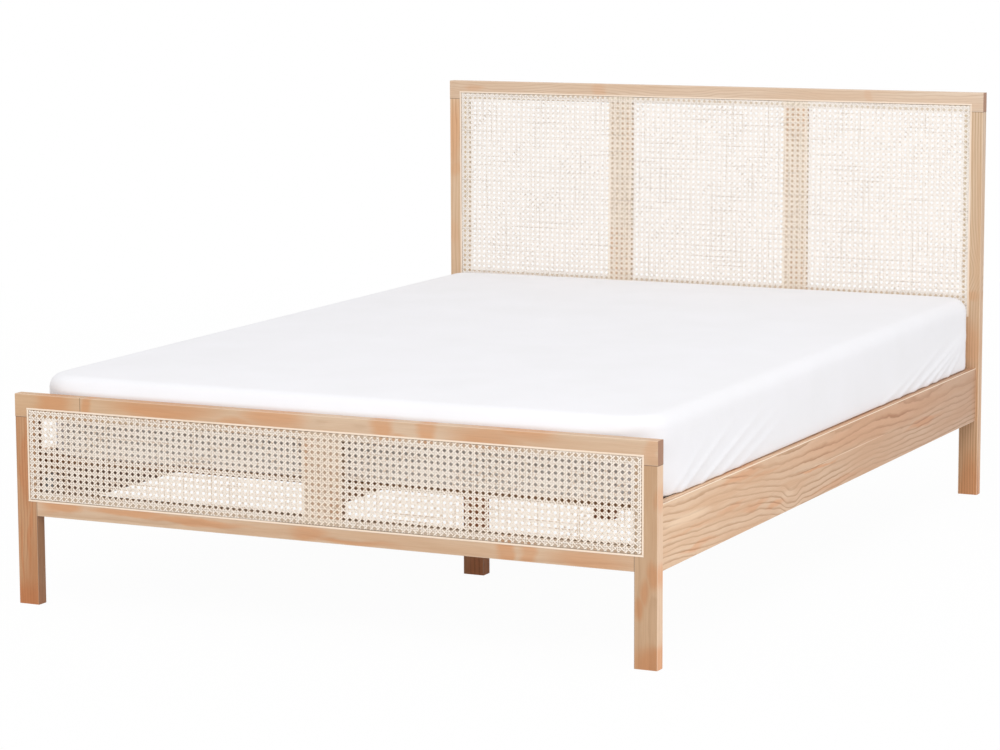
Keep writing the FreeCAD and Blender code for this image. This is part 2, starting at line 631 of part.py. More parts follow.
def boltGroup(name, spots, length):
    """Each spot is the centre under a head and the direction that its shank points to."""
    bolts = []
    for index, (spot, direction) in enumerate(spots):
        shank = doc.addObject("Part::Prism", "%s_shank%d" % (name, index))
        head = doc.addObject("Part::Prism", "%s_head%d" % (name, index))
        bind(shank, "Circumradius", "Sizes.bolt_radius")
        bind(shank, "Height", length)
        bind(head, "Circumradius", "Sizes.bolt_head_radius")
        bind(head, "Height", "Sizes.bolt_head_height")
        shank.Polygon = shankSides
        head.Polygon = headSides
        turn = FreeCAD.Rotation(V(0, 0, 1), V(*direction))
        turnBack = FreeCAD.Rotation(V(0, 0, 1), -V(*direction))
        shank.Placement = FreeCAD.Placement(V(0, 0, 0), turn)
        head.Placement = FreeCAD.Placement(V(0, 0, 0), turnBack)
        place(shank, spot)
        place(head, spot)
        bolt = doc.addObject("Part::Fuse", "%s_bolt%d" % (name, index))
        bolt.Base = shank
        bolt.Tool = head
        bolts.append(bolt)
    group = doc.addObject("Part::Compound", name)
    group.Links = bolts
    group.Label = name
    parts.append(group)


angleSpots = []
for endName, end, y in (("foot", -1, footBack), ("head", 1, headFront)):
    for side in (-1, 1):
        railFace = "(%d * (%s - Sizes.plate))" % (side, railInner)
        for z in railBoltHeights:
            angleSpots.append(((railFace, "(%s - %d * Sizes.bolt_rail_reach)" % (y, end), z), (side, 0, 0)))
        legFace = "(%s - %d * Sizes.plate)" % (y, end)
        for z in legBoltHeights[endName]:
            angleSpots.append((("(%d * %s)" % (side, legBoltX), legFace, z), (0, end, 0)))
boltGroup("corner_angle_bolts", angleSpots, "Sizes.bolt_length")

cheekFace = "(%s + Sizes.cheek_play + %s)" % (beamHalf, cheekWidth)
cheekLevels = ["(%s + %s)" % (beamBase, z) for z in cheekHeights]
legSpots = []
for y in legPlaces.values():
    legSpots += [((cheekFace, "(%s + %s)" % (footBack, y), z), (-1, 0, 0)) for z in cheekLevels]
boltGroup("centre_leg_bolts", legSpots, "Sizes.cheek_bolt_length")

hangerSpots = []
for end, y in ((-1, footBack), (1, headFront)):
    for side in (-1, 1):
        face = "(%s - %d * Sizes.plate)" % (y, end)
        hangerSpots.append((("(%d * %s)" % (side, hangerSide), face, hangerLevel), (0, end, 0)))
boltGroup("beam_hanger_bolts", hangerSpots, "Sizes.bolt_length")

# Mattress and fitted sheet: ruled lofts through rounded rectangles

sheetBase = "(Sizes.slat_top + Sizes.soft_gap)"
mattressBase = "(%s + Sizes.sheet_thickness + Sizes.sheet_slack)" % sheetBase
mattressWidth = "(2 * (%s - Sizes.mattress_side_gap))" % railInner
mattressLength = "(Sizes.inner_length - Sizes.mattress_head_gap - Sizes.mattress_foot_gap)"
mattressMiddle = "(%s - Sizes.mattress_head_gap - %s / 2)" % (headFront, mattressLength)
top = "Sizes.mattress_top_round"
base = "Sizes.mattress_base_round"
full = "Sizes.mattress_height"
# Height and inset of each outline, from the base up; the share is a quarter round's at its middle.
roundShare = 1 - math.sqrt(2) / 2
profile = [
    ("0", base),
    (base, "0"),
    ("(%s - %s)" % (full, top), "0"),
    ("(%s - %s * %.6f)" % (full, top, roundShare), "(%s * %.6f)" % (top, roundShare)),
    (full, top),
]


def outline(name, level, halfX, halfY, radius):
    """Rounded rectangle about the mattress's middle, at a level."""
    sketch = doc.addObject("Sketcher::SketchObject", name)
    a = number(halfX)
    b = number(halfY)
    r = number(radius)
    centres = [V(a - r, r - b, 0), V(a - r, b - r, 0), V(r - a, b - r, 0), V(r - a, r - b, 0)]
    points = [V(r - a, -b, 0), V(a - r, -b, 0), V(a, r - b, 0), V(a, b - r, 0)]
    points += [-point for point in points]
    quarter = math.pi / 2
    for index in range(4):
        sketch.addGeometry(Part.LineSegment(points[2 * index], points[2 * index + 1]))
        circle = Part.Circle(centres[index], V(0, 0, 1), r)
        sketch.addGeometry(Part.ArcOfCircle(circle, quarter * (index - 1), quarter * index))
    for index in range(8):
        sketch.addConstraint(Sketcher.Constraint("Tangent", index, 2, (index + 1) % 8, 1))
    for line, direction in zip((0, 2, 4, 6), ("Horizontal", "Vertical", "Horizontal", "Vertical")):
        sketch.addConstraint(Sketcher.Constraint(direction, line))
    for arc in (3, 5, 7):
        sketch.addConstraint(Sketcher.Constraint("Equal", 1, arc))
    sketch.addConstraint(Sketcher.Constraint("Symmetric", 0, 1, 4, 1, -1, 1))
    size = sketch.addConstraint(Sketcher.Constraint("Radius", 1, r))
    across = sketch.addConstraint(Sketcher.Constraint("DistanceX", 6, 1, 2, 1, 2 * a))
    along = sketch.addConstraint(Sketcher.Constraint("DistanceY", 0, 1, 4, 1, 2 * b))
    bind(sketch, "Constraints[%d]" % size, radius)
    bind(sketch, "Constraints[%d]" % across, "2 * (%s)" % halfX)
    bind(sketch, "Constraints[%d]" % along, "2 * (%s)" % halfY)
    place(sketch, (0, mattressMiddle, level))
    return sketch


def softForm(name, grow):
    """Loft of the mattress's outlines, grown outwards all round, with the shallow crown on its top."""
    sections = []
    for index, (height, inset) in enumerate(profile):
        lift = "-" if index == 0 else "+"
        grown = grow if index in (0, len(profile) - 1) else "0"
        level = "(%s + %s %s %s)" % (mattressBase, height, lift, grown)
        halfX = "(%s / 2 - %s + %s)" % (mattressWidth, inset, grow)
        halfY = "(%s / 2 - %s + %s)" % (mattressLength, inset, grow)
        radius = "(Sizes.mattress_corner - %s + %s)" % (inset, grow)
        sections.append(outline("%s_outline%d" % (name, index), level, halfX, halfY, radius))
    body = doc.addObject("Part::Loft", name + "_body")
    body.Sections = sections
    body.Solid = True
    body.Ruled = True
    crown = doc.addObject("Part::Wedge", name + "_crown")
    crown.Placement.Rotation = FreeCAD.Rotation(V(1, 0, 0), 90)
    for letter, size in (("X", mattressWidth), ("Z", mattressLength)):
        wide = "(%s / 2 - %s)" % (size, top)
        narrow = "(%s / 2 - Sizes.mattress_crown_inset)" % size
        bind(crown, letter + "min", "-" + wide)
        bind(crown, letter + "max", wide)
        bind(crown, letter + "2min", "-" + narrow)
        bind(crown, letter + "2max", narrow)
    bind(crown, "Ymin", 0)
    bind(crown, "Ymax", "Sizes.mattress_crown")
    place(crown, (0, mattressMiddle, "(%s + %s + %s)" % (mattressBase, full, grow)))
    corners = outline(name + "_crown_outline", "(%s + %s + %s)" % (mattressBase, full, grow),
                      "(%s / 2 - %s)" % (mattressWidth, top), "(%s / 2 - %s)" % (mattressLength, top),
                      "(Sizes.mattress_corner - %s)" % top)
    column = doc.addObject("Part::Extrusion", name + "_crown_column")
    column.Base = corners
    column.DirMode = "Custom"
    column.Dir = V(0, 0, 1)
    bind(column, "LengthFwd", "Sizes.mattress_crown")
    column.Solid = True
    rounded = doc.addObject("Part::Common", name + "_rounded_crown")
    rounded.Base = crown
    rounded.Tool = column
    form = doc.addObject("Part::Fuse", name)
    form.Base = body
    form.Tool = rounded
    return form


def cutOf(name, whole, tool):
    result = doc.addObject("Part::Cut", name)
    result.Base = whole
    result.Tool = tool
    return result


mattress = softForm("mattress", "0")
mattress.Label = "mattress"
parts.append(mattress)

outside = softForm("sheet_outside", "(Sizes.sheet_slack + Sizes.sheet_thickness)")
inside = softForm("sheet_inside", "Sizes.sheet_slack")
opening = doc.addObject("Part::Box", "sheet_opening")
openInset = "(%s + Sizes.sheet_hem)" % base
bind(opening, "Length", "%s - 2 * %s" % (mattressWidth, openInset))
bind(opening, "Width", "%s - 2 * %s" % (mattressLength, openInset))
bind(opening, "Height", "Sizes.mattress_height / 2")
place(opening, ("-(%s / 2 - %s)" % (mattressWidth, openInset),
                "%s - %s / 2 + %s" % (mattressMiddle, mattressLength, openInset),
                "%s - Sizes.mattress_height / 4" % mattressBase))
shell = cutOf("sheet_shell", outside, inside)
fitted = cutOf("fitted_sheet", shell, opening)
fitted.Label = "fitted_sheet"
parts.append(fitted)

# Checks and export

doc.recompute()
for thing in doc.Objects:
    bad = [state for state in thing.State if state in ("Invalid", "Error")]
    if bad:
        raise RuntimeError("%s is %s" % (thing.Name, bad))
for result, previous, kind in volumeChecks:
    after = result.Shape.Volume
    before = previous.Shape.Volume if previous else 0
    changed = after - before if kind == "Pad" else before - after
    if changed <= 0:
        raise RuntimeError("%s changes nothing" % result.Name)

os.makedirs("parts", exist_ok=True)
for part in parts:
    shape = part.Shape
    if shape.isNull() or not shape.isValid():
        raise RuntimeError("%s has no valid shape" % part.Label)
    shape.exportStep("parts/%s.step" % part.Label)
print("%d nodes written" % len(parts))
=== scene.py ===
import math
import random

import bpy
from mathutils import Matrix, Vector, noise


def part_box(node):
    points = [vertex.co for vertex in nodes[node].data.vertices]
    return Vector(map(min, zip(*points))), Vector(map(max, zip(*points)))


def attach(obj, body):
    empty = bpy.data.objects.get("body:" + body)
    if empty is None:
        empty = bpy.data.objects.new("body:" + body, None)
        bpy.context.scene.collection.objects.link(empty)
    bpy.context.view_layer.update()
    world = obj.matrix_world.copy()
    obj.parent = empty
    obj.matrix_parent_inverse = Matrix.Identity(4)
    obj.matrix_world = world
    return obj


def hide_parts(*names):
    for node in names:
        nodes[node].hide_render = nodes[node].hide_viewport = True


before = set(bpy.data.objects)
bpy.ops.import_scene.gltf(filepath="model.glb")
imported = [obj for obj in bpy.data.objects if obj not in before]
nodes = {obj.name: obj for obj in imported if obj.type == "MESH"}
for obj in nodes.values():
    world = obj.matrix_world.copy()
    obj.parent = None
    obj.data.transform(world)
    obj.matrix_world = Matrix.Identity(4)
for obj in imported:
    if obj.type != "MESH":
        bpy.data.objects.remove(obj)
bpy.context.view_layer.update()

print("stage: frame loaded")


# Selecting and shaping

def pick(piece):
    if bpy.context.object and bpy.context.object.mode != "OBJECT":
        bpy.ops.object.mode_set(mode="OBJECT")
    bpy.ops.object.select_all(action="DESELECT")
    piece.select_set(True)
    bpy.context.view_layer.objects.active = piece


def openMesh(piece):
    pick(piece)
    bpy.ops.object.mode_set(mode="EDIT")
    bpy.ops.mesh.select_all(action="SELECT")


def closeMesh():
    bpy.ops.object.mode_set(mode="OBJECT")


def joinPieces(first, *others):
    pick(first)
    for other in others:
        other.select_set(True)
    bpy.ops.object.join()
    return first


def repeat(piece, step, count):
    pick(piece)
    bpy.ops.object.modifier_add(type="ARRAY")
    row = piece.modifiers[-1]
    row.use_relative_offset = False
    row.use_constant_offset = True
    row.constant_offset_displace = step
    row.count = count
    row.use_merge_vertices = True
    row.merge_threshold = 0.00002
    bpy.ops.object.modifier_apply(modifier=row.name)


# Materials

def newMaterial(name):
    material = bpy.data.materials.new(name)
    material.use_nodes = True
    return material


def plug(material, socket, value):
    if isinstance(value, bpy.types.NodeSocket):
        material.node_tree.links.new(value, socket)
    else:
        socket.default_value = value


def addNode(material, kind, inputs=None, **settings):
    made = material.node_tree.nodes.new("ShaderNode" + kind)
    for key, value in settings.items():
        setattr(made, key, value)
    for key, value in (inputs or {}).items():
        plug(material, made.inputs[key], value)
    return made


def surface(material):
    return material.node_tree.nodes["Principled BSDF"]


def ramp(material, factor, stops, how="LINEAR"):
    made = addNode(material, "ValToRGB", {"Fac": factor})
    band = made.color_ramp
    band.interpolation = how
    while len(band.elements) < len(stops):
        band.elements.new(0.5)
    for element, (place, colour) in zip(band.elements, stops):
        element.position = place
        element.color = colour if len(colour) == 4 else (*colour, 1)
    return made.outputs["Color"]


def blendColours(material, how, share, first, second):
    made = addNode(material, "Mix", data_type="RGBA", blend_type=how)
    for number, value in ((0, share), (6, first), (7, second)):
        plug(material, made.inputs[number], (*value, 1) if isinstance(value, (tuple, list)) else value)
    return made.outputs[2]


def calculate(material, how, first, second=0.0, third=0.0):
    made = addNode(material, "Math", operation=how)
    for socket, value in zip(made.inputs, (first, second, third)):
        plug(material, socket, value)
    return made.outputs[0]


def coat(material, colour, values, height, strength, distance):
    made = addNode(material, "Bump", {"Height": height, "Strength": strength, "Distance": distance})
    for key, value in {"Base Color": colour, "Normal": made.outputs["Normal"], **values}.items():
        plug(material, surface(material).inputs[key], value)


def placeOn(material):
    return addNode(material, "TexCoord").outputs["Object"]


def parts(material, vector):
    return addNode(material, "SeparateXYZ", {"Vector": vector}).outputs


def vectors(material, how, first, second=(0, 0, 0)):
    return addNode(material, "VectorMath", {0: first, 1: second}, operation=how).outputs


def between(material, value, start, finish, low=0.0, high=1.0, how="LINEAR"):
    made = addNode(material, "MapRange", {"Value": value, "From Min": start, "From Max": finish,
                                          "To Min": low, "To Max": high}, interpolation_type=how)
    return made.outputs[0]


def placed(material, vector, scale, location=(0, 0, 0), turn=(0, 0, 0)):
    made = addNode(material, "Mapping", {"Vector": vector, "Scale": scale, "Location": location,
                                         "Rotation": turn})
    return made.outputs[0]


def noiseAt(material, vector, scale, detail, roughness=0.5, distortion=0.0):
    made = addNode(material, "TexNoise", {"Vector": vector, "Scale": scale, "Detail": detail,
                                          "Roughness": roughness, "Distortion": distortion})
    return made.outputs


# Wood: growth rings about a pith outside the board, bent along it, with fine fibres and warm patches

woodLook = {
    "light": (0.675, 0.484, 0.336),
    "line": (0.445, 0.254, 0.138),
    "end": (0.40, 0.21, 0.13),
    "roughness": 0.48,
}
# darker than the frame wood: partly a darker wood, partly painted shade for the pieces inside the bed
slatLook = {
    "light": (0.54, 0.31, 0.18),
    "line": (0.36, 0.19, 0.10),
    "end": (0.42, 0.24, 0.14),
    "roughness": 0.65,
}
grainLook = {
    "slowDrift": (3.0, 12.0, 0.018),  # scale along and across the grain, and reach
    "fastDrift": (14.0, 60.0, 0.0055),
    "raggedDrift": (9.0, 34.0, 0.036),
    "fibre": (16.0, 900.0),  # scale along and across the grain
    "cloud": (3.0, 26.0),
    "bendReach": 0.1,
    "wave": 0.314,  # from ring to ring at a scale of 1
    "ring": ((0.0, 0.25), (0.07, 0.0), (0.60, 0.08), (0.86, 0.85), (0.95, 1.0), (1.0, 0.25)),
    "lineStrength": (0.3, 1.35),
    "patchStrength": (0.6, 1.15),
    "anyPatch": ((0.06, 0.16), (0.02, 0.04), (0.3, 0.7)),  # half length, half width, strength
    "bump": (0.15, 0.0004),
    "streak": (0.87, 0.84, 0.81),
    "dull": (0.06, 0.14, 0.21),
    "pale": (1.02, 1.02, 1.02),
    "warm": (0.97, 0.74, 0.58),
    "glint": (0.92, 0.76, 0.58),
    # painted highlight: a lighter colour along the board edges
    "edgeHighlight": (0.93, 0.78, 0.62),
    "edgeHighlightReach": (0.0018, 0.0008),
    "joint": (0.17, 0.09, 0.05),
    "jointLine": (0.0008, 0.75),  # half width and strength
}
# painted shade and light on the wood behind each cane panel: cooler behind the footboard, lighter behind
# the headboard
caneShadeAndLight = {"footboard": (0.90, 1.00, 1.10), "headboard": (1.10, 1.26, 1.36)}
# slat tints: partly a darker wood, partly painted shade for the pieces inside the bed
slatTints = {"leg": (1.12, 0.98, 0.95), "slat": (0.80, 0.88, 0.90)}
axisNumber = {"X": 0, "Y": 1, "Z": 2}
acrossAxis = {"X": 2, "Y": 2, "Z": 0}
deepAxis = {"X": 1, "Y": 0, "Z": 1}


def alongGrain(grain, along, across):
    scale = [across] * 3
    scale[axisNumber[grain]] = along
    return scale


def drift(material, position, grain, seed, values, wander=1.0, detail=1.0):
    along, across, reach = values
    shift = (seed, seed * 0.7, seed * 1.3)
    spread = placed(material, position, alongGrain(grain, along, across), shift)
    field = noiseAt(material, spread, 1.0, detail)["Color"]
    centred = vectors(material, "SUBTRACT", field, (0.5,) * 3)[0]
    sized = vectors(material, "MULTIPLY", centred, (reach * wander,) * 3)[0]
    return vectors(material, "ADD", position, sized)[0]


def closeness(material, position, grain, spot):
    along, across, reachAlong, reachAcross = spot
    centre, reach = [0.0] * 3, [1000.0] * 3
    centre[axisNumber[grain]], reach[axisNumber[grain]] = along, reachAlong
    centre[acrossAxis[grain]], reach[acrossAxis[grain]] = across, reachAcross
    apart = vectors(material, "SUBTRACT", position, centre)[0]
    away = vectors(material, "LENGTH", vectors(material, "DIVIDE", apart, reach)[0])["Value"]
    return between(material, away, 1.0, 0.3, how="SMOOTHSTEP")


def strongest(material, position, grain, spots):
    total = 0.0
    for *spot, depth in spots:
        near = calculate(material, "MULTIPLY", closeness(material, position, grain, spot), depth)
        total = calculate(material, "MAXIMUM", near, total)
    return total


def span(box, axis):
    low, top = box
    return (low[axis] + top[axis]) / 2, (top[axis] - low[axis]) / 2


def nearLine(material, value, level, reach, share):
    away = calculate(material, "ABSOLUTE", calculate(material, "SUBTRACT", value, level))
    return calculate(material, "MULTIPLY", calculate(material, "LESS_THAN", away, reach), share)


def growthRings(material, position, box, grain, seed, wander, spacing, pith, bend, pushes):
    low, top = box
    middle = (low + top) / 2
    along, across, deep = axisNumber[grain], acrossAxis[grain], deepAxis[grain]
    moved = 0.0
    if bend:
        reach = grainLook["bendReach"]
        share = between(material, parts(material, position)[along], low[along], top[along])
        stops = [(level, (0.5 + offset / reach,) * 3) for level, offset in bend]
        course = ramp(material, share, stops, "CARDINAL")
        moved = calculate(material, "MULTIPLY_ADD", course, reach, -reach / 2)
    for *spot, offset in pushes:
        near = closeness(material, position, grain, spot)
        moved = calculate(material, "MULTIPLY_ADD", near, offset, moved)
    step = addNode(material, "CombineXYZ", {across: moved}).outputs[0]
    position = vectors(material, "ADD", position, step)[0]
    position = drift(material, position, grain, seed, grainLook["slowDrift"], wander)
    position = drift(material, position, grain, seed + 3, grainLook["fastDrift"], wander, 2.0)
    heart = [0.0] * 3
    heart[across] = -middle[across] - pith[0]
    heart[deep] = -middle[deep] - pith[1]
    centred = placed(material, position, (1, 1, 1), heart)
    wave = addNode(material, "TexWave", {"Vector": centred, "Scale": grainLook["wave"] / spacing},
                   wave_type="RINGS", rings_direction=grain, wave_profile="SAW")
    stops = [(share, (tone,) * 3) for share, tone in grainLook["ring"]]
    return ramp(material, wave.outputs["Fac"], stops)


def warmPatches(material, colour, position, cloud, grain, seed, patches, glints):
    if patches:
        ragged = drift(material, position, grain, seed + 7, grainLook["raggedDrift"], detail=4.0)
        broken = between(material, cloud, 0.35, 0.6, *grainLook["patchStrength"])
        warm = calculate(material, "MULTIPLY", strongest(material, ragged, grain, patches), broken)
        colour = blendColours(material, "MULTIPLY", warm, colour, grainLook["warm"])
    # Painted highlights: glints lighten lines and spots on the board.
    if glints:
        bright = strongest(material, position, grain, glints)
        colour = blendColours(material, "MIX", bright, colour, grainLook["glint"])
    return colour


# Painted highlight: the colour is lightened within about 2 mm of the board's long edges, where a rounded
# edge would catch light.
def paintedEdgeHighlight(material, colour, spot, box, axes, strength):
    edge = 0.0
    for axis in axes:
        centre, half = span(box, axis)
        away = calculate(material, "ABSOLUTE", calculate(material, "SUBTRACT", spot[axis], centre))
        edge = calculate(material, "MAXIMUM", calculate(material, "SUBTRACT", half, away), edge)
    eased = between(material, edge, *grainLook["edgeHighlightReach"], high=strength)
    return blendColours(material, "MIX", eased, colour, grainLook["edgeHighlight"])


def behindCane(material, spot, facing, box):
    share = calculate(material, "LESS_THAN", facing[1], 0.5)
    for axis in (0, 2):
        middle, half = span(box, axis)
        share = nearLine(material, spot[axis], middle, half, share)
    return share


def wood(name, box, look, grain, seed, tint=(1, 1, 1), farTint=None, fade=None, lines=0.45, wander=1.0,
         spacing=0.009, pith=(0.12, 0.05), bend=(), pushes=(), mottle=1.0, patches=None, glints=(),
         joints=(), edgeHighlight=0.3, panel=None, paintedSideShading=None):
    chance = random.Random(seed)
    low, top = box
    along, across, deep = axisNumber[grain], acrossAxis[grain], deepAxis[grain]
    material = newMaterial(name)
    place = addNode(material, "TexCoord")
    plain = place.outputs["Object"]
    spot = parts(material, plain)
    facing = parts(material, place.outputs["Normal"])
    rings = growthRings(material, plain, box, grain, seed, wander, spacing, pith, bend, pushes)
    fine = placed(material, plain, alongGrain(grain, *grainLook["fibre"]))
    fibre = noiseAt(material, fine, 1.0, 4.0, 0.6)["Fac"]
    broad = placed(material, plain, alongGrain(grain, *grainLook["cloud"]), (seed, seed, seed))
    cloud = noiseAt(material, broad, 1.0, 3.0)["Fac"]

    weak, strong = grainLook["lineStrength"]
    depth = calculate(material, "MULTIPLY", rings,
                      between(material, cloud, 0.36, 0.64, weak * lines, strong * lines))
    colour = blendColours(material, "MIX", depth, look["light"], look["line"])
    streaks = ramp(material, fibre, [(0.3, grainLook["streak"]), (0.62, (1.0, 1.0, 1.0))])
    colour = blendColours(material, "MULTIPLY", 0.7, colour, streaks)
    dull = tuple(1 - mottle * part for part in grainLook["dull"])
    clouds = ramp(material, cloud, [(0.36, dull), (0.60, grainLook["pale"])])
    colour = blendColours(material, "MULTIPLY", 0.9, colour, clouds)

    if patches is None:
        patches = []
        for _ in range(4):
            ranges = ((low[along], top[along]), (low[across], top[across]), *grainLook["anyPatch"])
            patches.append([chance.uniform(*limits) for limits in ranges])
    colour = warmPatches(material, colour, plain, cloud, grain, seed, patches, glints)

    tones = between(material, spot[along], *(fade or (low[along], top[along])))
    shade = blendColours(material, "MIX", tones, tint, farTint or tint)
    colour = blendColours(material, "MULTIPLY", 1.0, colour, shade)
    # Painted light and shade: faces turned one way along x are lightened on the legs and darkened on the
    # side rails' inner faces.
    if paintedSideShading:
        way, tone = paintedSideShading
        toSide = calculate(material, "MULTIPLY", facing[0], way)
        sideways = calculate(material, "GREATER_THAN", toSide, 0.7)
        colour = blendColours(material, "MULTIPLY", sideways, colour, tone)
    colour = paintedEdgeHighlight(material, colour, spot, box, (across, deep), edgeHighlight)
    # Painted shade and light on the wood behind the cane.
    if panel:
        covered = behindCane(material, spot, facing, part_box(panel + "_cane"))
        colour = blendColours(material, "MULTIPLY", covered, colour, caneShadeAndLight[panel])

    ends = calculate(material, "GREATER_THAN", calculate(material, "ABSOLUTE", facing[along]), 0.7)
    endRings = calculate(material, "MULTIPLY", rings, 0.4)
    endColour = blendColours(material, "MIX", endRings, look["end"], look["line"])
    endColour = blendColours(material, "MULTIPLY", 0.8, endColour, streaks)
    colour = blendColours(material, "MIX", ends, colour, endColour)
    for axis, level in joints:
        line = nearLine(material, spot[axisNumber[axis]], level, *grainLook["jointLine"])
        colour = blendColours(material, "MIX", line, colour, grainLook["joint"])
    values = {"Roughness": look["roughness"], "Specular IOR Level": 0.35}
    coat(material, colour, values, fibre, *grainLook["bump"])
    return material


def dress(name, material):
    piece = nodes[name]
    piece.data.materials.clear()
    piece.data.materials.append(material)


# How far the grain leaves a straight line, in m, at shares of a board's length
railBend = [(0.0, -0.027), (0.07, -0.022), (0.14, -0.016), (0.21, -0.008), (0.27, 0.003), (0.31, 0.015),
            (0.36, 0.027), (0.45, 0.027), (0.54, 0.024), (0.61, 0.017), (0.67, 0.021), (0.73, 0.027),
            (0.83, 0.027), (1.0, 0.021)]
legBend = [(0.0, 0.0), (0.44, 0.0), (0.52, -0.004), (0.57, -0.021), (0.62, -0.012), (0.69, -0.004),
           (0.79, 0.0), (1.0, 0.002)]
headBend = [(0.0, 0.0), (0.1, 0.007), (0.25, -0.005), (0.45, 0.007), (0.6, -0.003), (0.75, 0.006),
            (1.0, 0.0)]


